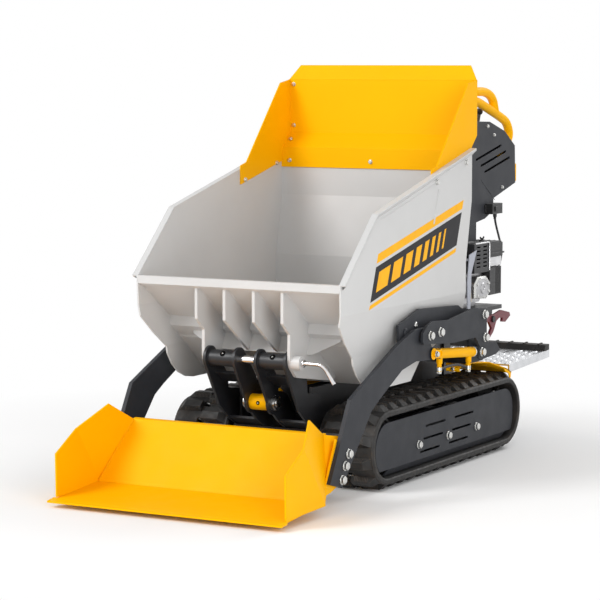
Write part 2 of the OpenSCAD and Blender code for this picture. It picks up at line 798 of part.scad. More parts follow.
module air_filter() {
    front_y = 752;
    color(paint_black) {
        translate([engine_left - 94, front_y, carb_top_z]) cube([92, 105, 42]);
        translate([engine_left - 98, front_y - 4, carb_top_z + 8]) cube([100, 113, 5]);
        translate([engine_left - 75, 800, carb_top_z + 41]) cylinder(r = 10, h = 9);
    }
}

module carburettor() {
    color(alloy) {
        translate([engine_left - 70, 757, 575]) cube([66, 91, carb_top_z - 575]);
        translate([150, fins_rear_y, 580]) cube([engine_left - 68 - 150, 11, 22]);
    }
}

module muffler() {
    color(zinc) {
        bar_y(engine_left - 60, 604, 26, 662, 732);
        translate([fins_left_x, 670, 590]) cube([22, 50, 26]);
    }
}

// Slotted heat guard round the muffler
module muffler_guard() {
    top = 652;
    t = 4;
    in_x = engine_left - 96;
    out_x = engine_left + 2;
    color(paint_black) difference() {
        translate([in_x, 640, case_top_z]) cube([out_x - in_x, 106, top - case_top_z]);
        translate([in_x - 1, 640 + t, case_top_z + t]) cube([out_x - in_x + 1 - t, 106 - 2 * t, top - case_top_z - 2 * t]);
        translate([in_x - 1, 639, case_top_z - 1]) cube([40, 108, t + 2]);
        for (i = [0:5]) for (y = [656, 704])
            translate([out_x - 10, y, case_top_z + 16 + 12 * i]) cube([20, 28, 5]);
    }
}

module hydraulic_tank() {
    t = 4;
    at = [-240, 580, engine_base_z];
    box = [130, 250, 190];
    color(paint_black) difference() {
        union() {
            translate(at) cube(box);
            translate(at + [box[0] / 2, box[1] / 2, box[2] - 1]) cylinder(r = 30, h = 18);
        }
        translate(at + [t, t, t]) cube(box - 2 * [t, t, t]);
    }
}

module hydraulic_pump() {
    color(alloy) difference() {
        union() {
            translate([engine_x - 45, 582, crank_z - 50]) cube([90, 40, 100]);
            translate([engine_x - 60, 621, crank_z - 40]) cube([120, case_front_y - 621, 80]);
        }
        bar_y(engine_x, crank_z, 14 + run_fit, 599, case_front_y + 1);
    }
}

// Bank of spool valves under the console's sloping face
module valve_block() {
    foot = [905, 945];
    // The foot stands on the console's sloping floor
    floor_rise = console_t * norm(console_heel - console_step) / (console_heel[0] - console_step[0]);
    foot_z = [for (y = foot) line_z(console_step, console_heel, y) + floor_rise];
    color(alloy) difference() {
        union() {
            translate([-160, lever_y - 60, 825]) cube([320, 70, 44]);
            for (x = lever_xs) for (side = [-16, 10])
                translate([x + side, lever_y - 12, 868]) cube([6, 24, lever_z + 10 - 868]);
            plate_x([[foot[0], foot_z[0]], [foot[1], foot_z[1]], [foot[1], 826], [foot[0], 826]], -150, 150);
        }
        for (x = lever_xs) bar_x(lever_y, lever_z, 4 + run_fit, x - 20, x + 20);
    }
}

module hand_lever(x) {
    lean = 24;
    color(chrome) translate([x, lever_y, lever_z]) {
        bar_x(0, 0, 4, -16, 16);
        bar_x(0, 0, 11, -9.6, 9.6);
        rotate([-lean, 0, 0]) cylinder(r = lever_r, h = lever_len);
    }
    color(paint_black) translate([x, lever_y, lever_z]) rotate([-lean, 0, 0])
        translate([0, 0, lever_len - 22]) {
            cylinder(r = 12, h = 34);
            translate([0, 0, 34]) sphere(r = 12);
        }
}

// Pressure hoses from the pump and the valve bank to the track motors and the lift rams
module hydraulic_hoses() {
    r = 9;
    bend = 50;
    valve_y = 905;
    valve_z = 811;
    middle_x = (hose_gap[0] + hose_gap[1]) / 2;
    spread = 24;
    motor_y = wheelbase - 10;
    rail_x = 95;
    color(paint_black) {
        swept_bar(rounded([[engine_x - 45, 602, 545], [36, 602, 545], [middle_x, 606, 575],
            [middle_x, 680, 680], [middle_x, 772, 715], [middle_x, 840, 805], [middle_x, 872, valve_z],
            [middle_x, valve_y, valve_z]], bend), r, 8);
        for (side = [-1, 1]) let (x = middle_x + side * spread)
            swept_bar(rounded([[x, valve_y, valve_z], [x, 872, valve_z], [x, 840, 805], [x, 772, 715],
                [x, 690, 640], [x, 668, 480], [x, 668, 300], [side * 60, 720, 180], [side * 64, motor_y, wheel_z],
                [side * rail_x, motor_y, wheel_z]], bend), r, 8);
    }
}

// Console and controls

module console_body() {
    rows = [[737, 900], [773, 880], [801, 860]];
    n = len(console_outline);
    inner = [for (i = [0:n - 1])
        let (
            b = console_outline[i],
            before = left_of(unit(b - console_outline[(i + n - 1) % n])),
            after = left_of(unit(console_outline[(i + 1) % n] - b))
        )
        b - console_t * (before + after) / (1 + before * after)];
    color(paint_dark) difference() {
        union() {
            difference() {
                plate_x(console_outline, -console_hw, console_hw);
                plate_x(inner, -console_hw + console_t, console_hw - console_t);
                // Throttle and lever slots in the sloping face, and the opening for the hoses
                translate([throttle_x - 8, 905, 960]) cube([16, 60, 60]);
                for (x = lever_xs) translate([x - 14, lever_y - 8, 930]) cube([28, 74, 80]);
                translate([hose_gap[0], 724, 690]) cube([hose_gap[1] - hose_gap[0], 116, 60]);
            }
            // Ears of the throttle lever
            for (x = [throttle_x - 12, throttle_x + 8])
                plate_x([[915, 995], [945, 986.5], [941, 970], [919, 970]], x, x + 4);
        }
        for (at = rows) both_sides() translate([console_hw - console_t - 1, at[0], at[1]])
            rotate([12, 0, 0]) cube([console_t + 2, 194, 8]);
        bar_x(throttle_y, throttle_z, throttle_pin_r + run_fit, throttle_x - 20, throttle_x + 20);
    }
}

// Post and braces that carry the console on the engine deck
module console_post() {
    post = [
        [deck_front_y + 2, engine_base_z], console_low, console_knee, [720, 600], [612, engine_base_z]
    ];
    leg_y = 742;
    leg = [
        console_low, [leg_y, line_z(console_low, console_knee, leg_y)], [leg_y, 656], [636, 656], [612, 560],
        [604, engine_base_z], [580, engine_base_z], [596, 620]
    ];
    color(paint_dark) {
        plate_x(post, post_right_x, post_right_x + post_t);
        plate_x(post, post_left_x - post_t, post_left_x);
        both_sides() plate_x(leg, console_hw - leg_t, console_hw);
    }
}

// Light grey brace outside the left leg, tied to it above the engine deck
module console_brace() {
    color(paint_light) {
        plate_x([[585, engine_base_z], [585, 545], [598, 623], [650, 634], [612, 566], [606, engine_base_z]],
            brace_x, brace_x + brace_t);
        translate([console_hw, 600, 604]) cube([brace_x - console_hw + 1, 20, 6]);
    }
}

// Yellow handlebar: two lower tubes and a raised loop with a cross grip
module handlebar() {
    x = 200;
    bend = 36;
    color(paint_yellow) difference() {
        union() {
            both_sides() swept_bar(rounded([[x, 1012, 914], [x, 1102, 964], [x, 1078, 1012], [x, 1020, 1032],
                [x, 842, 1084], [x, 750, 1086], [x, 730, 1008]], bend), bar_r, 12);
            swept_bar(rounded([[x, 985, 1044], [x, 966, 1092], [x, 910, 1112], [x, 800, 1112],
                [-x, 800, 1112], [-x, 910, 1112], [-x, 966, 1092], [-x, 985, 1044]], bend), bar_r, 12);
        }
        // The tubes end on the console's outside
        plate_x(console_outline, -console_hw, console_hw);
    }
}

module throttle_lever() {
    lean = 20;
    color(paint_black) translate([throttle_x, throttle_y, throttle_z]) {
        bar_x(0, 0, throttle_pin_r, -12, 12);
        bar_x(0, 0, 11, -8 + side_gap, 8 - side_gap);
        rotate([-lean, 0, 0]) translate([-4, -5, 0]) cube([8, 10, 70]);
        rotate([-lean, 0, 0]) translate([0, 0, 70]) sphere(r = 11);
    }
}

module switch_box() {
    color(paint_black) {
        translate([console_hw, 806, switch_low_z]) cube([26, 74, 32]);
        translate([console_hw, 800, switch_low_z + 4]) cube([4, 86, 24]);
        translate([console_hw + 25, 822, switch_low_z + 8]) cube([5, 22, 16]);
    }
}

// Throttle cable, held at the switch box and at the carburettor
module throttle_cable() {
    color(rubber_black) swept_bar(cable_route, cable_r, 8);
}

// Platform and latch

module tilted_platform() {
    translate([0, platform_y, platform_z]) rotate([platform_tilt, 0, 0]) children();
}

module platform_plate() {
    front = 16;
    skirt = 16;
    edge_t = 5;
    knuckle_w = 30;
    knuckle_x = 100 - side_gap - knuckle_w;
    color(alloy) tilted_platform() {
        difference() {
            union() {
                translate([-platform_hw, front, platform_lift])
                    cube([2 * platform_hw, platform_l - front, platform_t]);
                for (x = [-platform_hw, platform_hw - edge_t])
                    translate([x, front, -skirt]) cube([edge_t, platform_l - front, skirt + platform_lift + 1]);
                translate([-platform_hw, platform_l - edge_t, -skirt])
                    cube([2 * platform_hw, edge_t, skirt + platform_lift + 1]);
                both_sides() {
                    bar_x(0, 0, 14, knuckle_x, knuckle_x + knuckle_w);
                    translate([knuckle_x, 0, -6]) cube([knuckle_w, front + 20, 12]);
                }
            }
            for (x = [-205, 189]) translate([x, 215, 0]) cube([16, 50, 20]);
            translate([-platform_hw - 1, platform_l - edge_bar_w, platform_lift + platform_t - edge_bar_seat])
                cube([2 * platform_hw + 2, edge_bar_w + 1, platform_t]);
        }
        bar_x(0, 0, platform_pin_r, -120, 120);
    }
}

// Ridged rubber bar along the platform's rear edge
module platform_edge() {
    n = 12;
    step = 2 * platform_hw / n;
    tread_z = platform_lift + platform_t;
    bar_h = 18;
    front = platform_l - edge_bar_w;
    ridge_l = 30;
    color(rubber_black) tilted_platform() {
        plate_x([[front, tread_z - edge_bar_seat], [front, tread_z], [platform_l - ridge_l, tread_z + bar_h],
            [platform_l, tread_z + bar_h], [platform_l, tread_z - edge_bar_seat]], -platform_hw, platform_hw);
        for (i = [0:n - 1])
            translate([-platform_hw + (i + 0.5) * step - 3, platform_l - ridge_l, tread_z + bar_h - 1])
                cube([6, ridge_l, 4]);
    }
}

// Hook that holds the folded platform
module latch_hook() {
    hook = [
        [704, 425], [704, 408], [726, 408], [745, 386], [726, 366], [731, 358], [757, 374],
        [766, 386], [779, 405], [800, 413], [826, 412], [824, 399], [846, 396], [884, 413],
        [878, 424], [817, 436], [770, 428], [740, 426]
    ];
    color(paint_red) difference() {
        plate_x(hook, latch_x, latch_x + latch_t);
        bar_x(latch_y, latch_z - 6, latch_pin_r + run_fit, latch_x - 1, latch_x + latch_t + 1);
    }
}

// Loader

module loader_arms() {
    pivot_ring_r = 23;
    pin_ring_r = 18;
    arm = [
        [-407, 82], [-317, 245], [-288, 296], [-224, 324], [-18, 412], [100, 447],
        [pivot_y, pivot_z + pivot_ring_r], [pivot_y + 8, pivot_z + 6], [ram_pin_y + 8, ram_pin_z + 6],
        [ram_pin_y, ram_pin_z - pin_ring_r], [109, 357], [20, 342], [-122, 275], [-170, 248],
        [-211, 203], [-339, 63]
    ];
    color(paint_dark) both_sides() difference() {
        union() {
            plate_x(arm, arm_in, arm_out);
            bar_x(pivot_y, pivot_z, pivot_ring_r, arm_in, arm_out);
            bar_x(ram_pin_y, ram_pin_z, pin_ring_r, arm_in, arm_out);
        }
        bar_x(pivot_y, pivot_z, arm_pin_r + run_fit, arm_in - 1, arm_out + 1);
        bar_x(ram_pin_y, ram_pin_z, ram_pin_r + run_fit, arm_in - 1, arm_out + 1);
    }
}

module shovel() {
    side_x = lip_hw - 5;
    back_hw = arm_in - 3;
    lip_y = -687;
    corner_y = -546;
    corner_z = 32;
    back_y = -359;
    back_z = 207;
    crease_y = -557;
    rear_x = 306;
    lean = [rear_x - side_x, back_y - crease_y];
    run = norm(lean);
    // How far the rear half of a side plate reaches into the front half, and sits inside its face
    crease_lap = 2;
    crease_inset = 0.6;
    // The back's line, how high its underside is at a depth, and how high a seat in its sheet
    back_start = [corner_y - 4, corner_z - 6];
    back_slope = (back_z - back_start[1]) / (back_y - back_start[0]);
    plate_seat = 5;
    cheek_seat = 2;
    function under_back(y) = back_start[1] + back_slope * (y - back_start[0]);
    function seated(s) = under_back(crease_y + s * lean[1] / run) + plate_seat;
    color(paint_yellow) {
        // Floor with its wider lip, and the sloping back
        plate_x(sheet([[lip_y, 14], [corner_y, corner_z - 5], [corner_y + 1, corner_z - 5]], shovel_t),
            -side_x, side_x);
        plate_x([[lip_y, 14], [lip_y, 19], [lip_y + 30, 24], [lip_y + 30, 17]], -lip_hw, lip_hw);
        plate_x(sheet([back_start, [back_y, back_z], [back_y + 14, back_z + 2]], shovel_t),
            -back_hw, back_hw);
        both_sides() {
            // Side plate, creased so that it leans in towards the back
            plate_x([[-653, 22], [-655, 144], [crease_y, 200], [crease_y, 27]], side_x - shovel_t, side_x);
            translate([side_x - crease_inset, crease_y, 0]) rotate([0, 0, atan2(lean[1], lean[0])])
                rotate([90, 0, 0]) translate([0, 0, -shovel_t]) linear_extrude(shovel_t) polygon([
                    [-crease_lap, 28], [-crease_lap, 198], [108, 259], [run, seated(run)], [12, seated(12)]
                ]);
            // Cheek that the arm is bolted to
            plate_x([[back_y - 4, under_back(back_y - 4) + cheek_seat], [-290, 168], [-350, 58], [-412, 26],
                [corner_y + 2, under_back(corner_y + 2) + cheek_seat]], arm_in - 6, arm_in);
        }
    }
}

module shovel_bolts() {
    color(zinc) both_sides() for (at = shovel_bolts_at) bolt_x(arm_out, at[0], at[1], 12);
}

// Lift ram barrel with the fork on the arm, end cap and two hose fittings
module lift_barrel() {
    fork_in = arm_in - fork_t - side_gap;
    fork_out = arm_out + side_gap;
    color(paint_yellow) along(ram_pin_y, ram_pin_z, ram_angle) difference() {
        union() {
            translate([barrel_start, -ram_mid_x, 0]) rotate([0, 90, 0])
                cylinder(r = lift_barrel_r, h = barrel_end - barrel_start);
            for (s = [62, 262]) translate([s, -ram_mid_x, 0]) {
                translate([0, 0, -30]) cylinder(r = 9, h = 30);
                translate([0, 0, -40]) cylinder(r = 7, h = 12);
            }
        }
        translate([ram_bore_start, -ram_mid_x, 0]) rotate([0, 90, 0])
            cylinder(r = lift_rod_r + run_fit, h = barrel_end);
    }
    color(paint_black) along(ram_pin_y, ram_pin_z, ram_angle) {
        for (x = [fork_in, fork_out]) translate([0, -x, 0]) rotate([90, 0, 0]) {
            cylinder(r = 17, h = fork_t);
            translate([0, -12, 0]) cube([barrel_start + 4, 24, fork_t]);
        }
        translate([barrel_start - 4, -fork_out - fork_t, -14]) cube([9, fork_out + fork_t - fork_in, 28]);
        translate([0, -fork_in, 0]) rotate([90, 0, 0]) cylinder(r = ram_pin_r, h = fork_out + fork_t - fork_in + 8);
    }
}

// Lift ram rod with its rear eye between the bracket's cheeks
module lift_rod() {
    color(chrome) along(ram_pin_y, ram_pin_z, ram_angle) translate([0, -ram_mid_x, 0]) {
        translate([ram_rod_start, 0, 0]) rotate([0, 90, 0]) cylinder(r = lift_rod_r, h = ram_len - ram_rod_start);
        translate([ram_len, ram_eye_hw, 0]) rotate([90, 0, 0]) cylinder(r = 14, h = 2 * ram_eye_hw);
    }
}

// Hopper

// A bar along the hopper with a section in X and Z
module section_y(section) {
    spare = 20;
    translate([0, rear_top_y + spare, 0]) rotate([90, 0, 0])
        linear_extrude(rear_top_y - rim_y + 2 * spare) polygon(section);
}

module hopper_lip() {
    intersection() {
        plate_x(sheet(lip_line, lip_t), -hopper_in, hopper_in);
        section_y(lip_front);
    }
}

module hopper_shell() {
    ear_in = tip_lug_hw;
    ear_seat = 2;
    function floor_z(y) = floor_low[1]
        + (y - floor_low[0]) * (floor_high[1] - floor_low[1]) / (floor_high[0] - floor_low[0]);
    color(paint_grey) {
        both_sides() {
            intersection() {
                plate_x(side_outline, 0, hopper_hw + 1);
                section_y(wall_section);
            }
            plate_x(sheet([[rear_top_y, hopper_top_z], [kink_y, kink_z], [rim_y, rim_z]], hopper_t),
                hopper_in, hopper_hw + flange_w);
            // Ears for the tipping ram, with the ends of its pin
            plate_x([[tip_lug_y - 34, floor_z(tip_lug_y - 34) + ear_seat], [tip_lug_y - 28, tip_lug_z],
                [tip_lug_y - 10, tip_lug_z - 26], [tip_lug_y + 10, tip_lug_z - 26],
                [tip_lug_y + 28, tip_lug_z], [tip_lug_y + 60, floor_z(tip_lug_y + 60) + ear_seat]],
                ear_in, ear_in + tip_lug_t);
            bar_x(tip_lug_y, tip_lug_z, 19, ear_in + tip_lug_t - 1, ear_in + tip_lug_t + 6);
        }
        intersection() {
            for (outline = [sheet(trough_line, hopper_t), rim_outline, channel_outline])
                plate_x(outline, -hopper_hw, hopper_hw);
            section_y(inside_section);
        }
        hopper_lip();
    }
}

// Four welded front ribs; the outer two carry the hinge pin
module hopper_ribs() {
    front = [[-280, 490], [-280, 583], front_top + 0.03 * (front_low - front_top), front_low];
    lip_middle = [-lip_t / 2, 0];
    inner = concat(front, [lip_line[1] + lip_middle, lip_line[0] + lip_middle + [0, 3]]);
    // The outer ribs run on under the belly and round the hinge
    outer = concat(front, [belly_top, belly_top + 0.83 * (keel_front - belly_top), [4, 300],
        [hinge_y + 30, hinge_z - 46], [hinge_y + 14, hinge_z - 42], [hinge_y - 16, hinge_z - 12],
        [hinge_y - 23, hinge_z + 9], [hinge_y - 21, hinge_z + 80]]);
    boss_l = 26;
    color(paint_grey) difference() {
        union() {
            both_sides() {
                plate_x(inner, rib_inner_x - rib_t / 2, rib_inner_x + rib_t / 2);
                plate_x(outer, rib_outer_x - rib_t / 2, rib_outer_x + rib_t / 2);
            }
            bar_x(hinge_y, hinge_z, 20, rib_outer_x, rib_outer_x + rib_t / 2 + boss_l);
        }
        for (outline = [rim_outline, channel_outline]) plate_x(outline, -hopper_in, hopper_in);
        hopper_lip();
        bar_x(hinge_y, hinge_z, hinge_r + run_fit, -rib_outer_x - rib_t, rib_outer_x + rib_t + boss_l);
    }
}

// Hinge pin with its cranked pull handle
module hinge_pin() {
    end = rib_outer_x + rib_t / 2 + 34;
    rod_r = 5.5;
    color(chrome) {
        bar_x(hinge_y, hinge_z, hinge_r, -rib_outer_x - rib_t / 2 - 4, end);
        swept_bar(rounded([[end - 2, hinge_y, hinge_z], [end + 58, hinge_y, hinge_z],
            [end + 96, hinge_y - 6, hinge_z - 52]], 22), rod_r, 10);
    }
}

module spill_guard() {
    flange_z = 1150;
    rise = guard_top_z - flange_z;
    back = 21;
    wall_y = rear_top_y - hopper_t;
    fold_z = 939;
    line = [[wall_y, 880], [wall_y, fold_z], [guard_fold_y, 985], [guard_fold_y, flange_z]];
    wing = [
        [277, 836], [277, 893], [312, 902], [522, 1140], [guard_fold_y, 1151], [guard_fold_y, 985],
        [wall_y, fold_z], [wall_y, 900]
    ];
    color(paint_yellow) {
        plate_x(sheet(line, guard_t), -hopper_in, hopper_in);
        both_sides() plate_x(wing, hopper_in - guard_t, hopper_in);
        // Top flange, leaning back, with cut corners
        translate([0, guard_fold_y, flange_z]) rotate([90 - atan2(back, rise), 0, 0])
            linear_extrude(guard_t) polygon([[-hopper_in, -2], [hopper_in, -2], [hopper_in - 30, norm([rise, back])],
                [30 - hopper_in, norm([rise, back])]]);
    }
}

module hopper_bolts() {
    color(zinc) both_sides() for (at = [[300, 858], [500, 908]]) bolt_x(hopper_hw, at[0], at[1], 8);
}

module tip_barrel() {
    color(paint_yellow) difference() {
        union() {
            bar_x(tip_eye_y, tip_eye_z, tip_eye_r, -tip_eye_hw, tip_eye_hw);
            along(tip_eye_y, tip_eye_z, tip_angle) rotate([0, 90, 0]) cylinder(r = tip_barrel_r, h = tip_barrel_end);
        }
        bar_x(tip_eye_y, tip_eye_z, tip_pin_r + run_fit, -tip_eye_hw - 1, tip_eye_hw + 1);
        along(tip_eye_y, tip_eye_z, tip_angle) translate([tip_bore_start, 0, 0]) rotate([0, 90, 0])
            cylinder(r = tip_rod_r + run_fit, h = tip_barrel_end);
        translate([0, tip_eye_y - 12, tip_eye_z]) rotate([90, 0, 0]) cylinder(r = 4, h = 20);
    }
}

module tip_rod() {
    knuckle_hw = tip_lug_hw - side_gap;
    color(chrome) {
        along(tip_eye_y, tip_eye_z, tip_angle) translate([tip_rod_start, 0, 0]) rotate([0, 90, 0])
            cylinder(r = tip_rod_r, h = tip_len - tip_rod_start);
        bar_x(tip_lug_y, tip_lug_z, tip_knuckle_r, -knuckle_hw, knuckle_hw);
    }
}

module mirrored() mirror([1, 0, 0]) children();

set_origin() chassis_frame();
set_origin() front_bracket();
set_origin() tip_ram_pin();
set_origin() track_frame();  // track_frame_left
set_origin() mirrored() track_frame();  // track_frame_right
set_origin() track_belt();  // track_belt_left
set_origin() mirrored() track_belt();  // track_belt_right
set_origin() track_cover();  // track_cover_left
set_origin() mirrored() track_cover();  // track_cover_right
set_origin() fenders();
set_origin() link_plates();
set_origin() frame_bolts();
set_origin() engine_block();
set_origin() fan_housing();
set_origin() fuel_tank();
set_origin() air_filter();
set_origin() muffler();
set_origin() muffler_guard();
set_origin() carburettor();
set_origin() hydraulic_tank();
set_origin() hydraulic_pump();
set_origin() valve_block();
set_origin() hydraulic_hoses();
set_origin() console_body();
set_origin() console_post();
set_origin() console_brace();
set_origin() handlebar();
set_origin() switch_box();
set_origin() throttle_cable();
set_origin() sprocket();  // sprocket_left
set_origin() mirrored() sprocket();  // sprocket_right
set_origin() idler();  // idler_left
set_origin() mirrored() idler();  // idler_right
set_origin() roller_front();  // roller_left_front
set_origin() roller_rear();  // roller_left_rear
set_origin() mirrored() roller_front();  // roller_right_front
set_origin() mirrored() roller_rear();  // roller_right_rear
set_origin() recoil_grip();
set_origin() throttle_lever();
set_origin() hand_lever(lever_xs[3]);  // drive_lever_left
set_origin() hand_lever(lever_xs[0]);  // drive_lever_right
set_origin() hand_lever(lever_xs[1]);  // tip_lever
set_origin() hand_lever(lever_xs[2]);  // lift_lever
set_origin() platform_plate();
set_origin() platform_edge();
set_origin() latch_hook();
set_origin() loader_arms();
set_origin() shovel();
set_origin() shovel_bolts();
set_origin() lift_barrel();  // lift_barrel_left
set_origin() mirrored() lift_barrel();  // lift_barrel_right
set_origin() lift_rod();  // lift_rod_left
set_origin() mirrored() lift_rod();  // lift_rod_right
set_origin() hopper_shell();
set_origin() hopper_ribs();
set_origin() hinge_pin();
set_origin() spill_guard();
set_origin() hopper_bolts();
set_origin() tip_barrel();
set_origin() tip_rod();
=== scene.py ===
"""Looks of the tracked power carrier: finishes, fine details, floor, light and camera.

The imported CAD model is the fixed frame. Places are given as in part.scad: millimetres, front -Y,
left +X, up +Z, measured along the machine from the front wheel axle.
"""
import math

import bmesh
import bpy
from mathutils import Matrix, Vector


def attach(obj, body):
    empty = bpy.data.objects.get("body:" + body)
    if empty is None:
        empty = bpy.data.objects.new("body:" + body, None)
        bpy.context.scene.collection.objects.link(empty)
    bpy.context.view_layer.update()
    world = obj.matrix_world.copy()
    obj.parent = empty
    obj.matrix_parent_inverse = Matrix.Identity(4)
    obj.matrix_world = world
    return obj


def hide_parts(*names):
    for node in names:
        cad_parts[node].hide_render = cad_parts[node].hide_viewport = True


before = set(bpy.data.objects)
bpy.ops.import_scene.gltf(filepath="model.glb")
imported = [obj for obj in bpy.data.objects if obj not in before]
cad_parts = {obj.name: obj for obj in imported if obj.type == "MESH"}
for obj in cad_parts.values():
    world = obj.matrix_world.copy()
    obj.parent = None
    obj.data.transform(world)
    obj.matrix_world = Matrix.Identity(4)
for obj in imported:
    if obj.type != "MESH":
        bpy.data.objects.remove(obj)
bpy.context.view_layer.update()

MM = 0.001
MIDDLE_Y = 249
SIDES = (1, -1)
NAMED_SIDES = ((1, "left"), (-1, "right"))

# Sizes that several sections share
WHEELBASE, WHEEL_Z = 806.83, 121
HOPPER_X, HOPPER_T = 327, 5
HINGE_Y, HINGE_Z = -220, 376


def at(x, y, z):
    """A place of part.scad, in metres in the row frame."""
    return Vector((x, y - MIDDLE_Y, z)) * MM


# Finishes

class Finish:
    """A material being made: its node tree, its shader and the coordinates of its patterns."""

    def __init__(self, name):
        self.material = bpy.data.materials.new(name)
        self.material.use_nodes = True
        self.tree = self.material.node_tree
        self.shader = self.tree.nodes["Principled BSDF"]
        self.coords = self.node("TexCoord").outputs["Object"]

    def node(self, kind, **settings):
        made = self.tree.nodes.new("ShaderNode" + kind)
        for key, value in settings.items():
            setattr(made, key, value)
        return made

    def feed(self, socket, value):
        """Links an output to a socket, or sets a plain value on it."""
        if isinstance(value, bpy.types.NodeSocket):
            self.tree.links.new(value, socket)
        else:
            socket.default_value = value

    def set(self, **values):
        for key, value in values.items():
            self.feed(self.shader.inputs[key.replace("_", " ")], value)
        return self

    def stretched(self, factors):
        mapping = self.node("Mapping")
        self.feed(mapping.inputs["Vector"], self.coords)
        mapping.inputs["Scale"].default_value = factors
        return mapping.outputs["Vector"]

    def noise(self, scale, detail=2.0, coords=None):
        made = self.node("TexNoise")
        self.feed(made.inputs["Vector"], coords or self.coords)
        made.inputs["Scale"].default_value = scale
        made.inputs["Detail"].default_value = detail
        return made.outputs[0]

    def spread(self, value, low, high, to_low, to_high):
        """Maps a value from one range to another, clamped."""
        made = self.node("MapRange")
        for socket, given in zip(made.inputs, (value, low, high, to_low, to_high)):
            self.feed(socket, given)
        return made.outputs[0]

    def mix(self, factor, a, b):
        made = self.node("Mix", data_type="RGBA")
        for index, given in ((0, factor), (6, a), (7, b)):
            self.feed(made.inputs[index], given)
        return made.outputs[2]

    def times(self, a, b):
        made = self.node("Math", operation="MULTIPLY")
        self.feed(made.inputs[0], a)
        self.feed(made.inputs[1], b)
        return made.outputs[0]

    def soft_edges(self, radius):
        made = self.node("Bevel", samples=4)
        made.inputs["Radius"].default_value = radius
        return made.outputs["Normal"]

    def edge_mask(self, softened, gain):
        """One along outer edges, where the softened normal leaves the real one."""
        dot = self.node("VectorMath", operation="DOT_PRODUCT")
        self.feed(dot.inputs[0], softened)
        self.feed(dot.inputs[1], self.node("NewGeometry").outputs["Normal"])
        return self.spread(dot.outputs["Value"], 1.0, 1.0 - 1.0 / gain, 0.0, 1.0)

    def bump(self, height, strength, distance, normal=None):
        made = self.node("Bump")
        made.inputs["Strength"].default_value = strength
        made.inputs["Distance"].default_value = distance
        self.feed(made.inputs["Height"], height)
        if normal is not None:
            self.feed(made.inputs["Normal"], normal)
        return made.outputs["Normal"]


def shade(colour, factor):
    return tuple(min(1.0, c * factor) for c in colour[:3]) + (1.0,)


def paint(name, colour, roughness, peel=0.12, edge=1.25, cloud=0.05, specular=0.5):
    """Powder coat: faint clouds in its colour, fine peel, and thinner, paler paint along edges."""
    f = Finish(name)
    soft = f.soft_edges(0.0014)
    clouds = f.spread(f.noise(5.0, 4.0), 0.35, 0.65, 0.0, 1.0)
    body = f.mix(clouds, shade(colour, 1.0 - cloud), shade(colour, 1.0 + cloud))
    rim = f.times(f.edge_mask(soft, 6.0), f.spread(f.noise(60.0, 3.0), 0.3, 0.7, 0.25, 0.8))
    f.set(Base_Color=f.mix(rim, body, shade(colour, edge)))
    f.set(Roughness=f.spread(f.noise(18.0, 3.0), 0.3, 0.7, roughness - 0.05, roughness + 0.06))
    f.set(Normal=f.bump(f.noise(620.0, 2.0), peel, 0.0004, soft))
    return f.set(Specular_IOR_Level=specular).material


def metal(name, colour, roughness, brush=(1.0, 1.0, 1.0), grain=300.0, strength=0.05):
    """Bare or plated metal with fine grain and uneven gloss."""
    f = Finish(name)
    soft = f.soft_edges(0.0009)
    lines = f.stretched(brush)
    tone = f.spread(f.noise(30.0, 4.0), 0.3, 0.7, 0.0, 1.0)
    f.set(Base_Color=f.mix(tone, shade(colour, 0.88), shade(colour, 1.06)), Metallic=1.0)
    f.set(Roughness=f.spread(f.noise(90.0, 3.0, lines), 0.3, 0.7, roughness * 0.75, roughness * 1.3))
    f.set(Normal=f.bump(f.noise(grain, 3.0, lines), strength, 0.0003, soft))
    return f.material


def rubber(name, colour, dust, roughness, dusty):
    """Moulded rubber: mottled, with pale dust on worn edges and in patches."""
    f = Finish(name)
    soft = f.soft_edges(0.0022)
    mottle = f.spread(f.noise(45.0, 5.0), 0.3, 0.7, 0.0, 1.0)
    body = f.mix(mottle, shade(colour, 0.7), shade(colour, 1.4))
    wear = f.times(f.edge_mask(soft, 4.0), f.spread(f.noise(26.0, 4.0), 0.38, 0.66, 0.0, dusty))
    patch = f.spread(f.noise(14.0, 6.0), 0.52, 0.75, 0.0, 0.35 * dusty)
    body = f.mix(patch, body, dust)
    f.set(Base_Color=f.mix(wear, body, dust))
    f.set(Roughness=f.spread(f.noise(70.0, 3.0), 0.3, 0.7, roughness - 0.1, roughness + 0.12))
    f.set(Normal=f.bump(f.noise(380.0, 3.0), 0.25, 0.0005, soft))
    return f.material


def plastic(name, colour, roughness):
    """Moulded plastic with a fine spark-eroded grain."""
    f = Finish(name)
    soft = f.soft_edges(0.0016)
    tone = f.spread(f.noise(12.0, 3.0), 0.3, 0.7, 0.0, 1.0)
    f.set(Base_Color=f.mix(tone, shade(colour, 0.85), shade(colour, 1.2)))
    f.set(Roughness=f.spread(f.noise(150.0, 2.0), 0.3, 0.7, roughness - 0.06, roughness + 0.08))
    f.set(Normal=f.bump(f.noise(900.0, 2.0), 0.18, 0.0003, soft))
    return f.material


def vinyl(name, colour, specular=0.12):
    """Printed film: a satin face over a faint mottle."""
    f = Finish(name)
    tone = f.spread(f.noise(40.0, 3.0), 0.3, 0.7, 0.0, 1.0)
    f.set(Base_Color=f.mix(tone, shade(colour, 0.94), shade(colour, 1.04)))
    f.set(Roughness=f.spread(f.noise(25.0, 2.0), 0.3, 0.7, 0.3, 0.38))
    return f.set(Specular_IOR_Level=specular).material


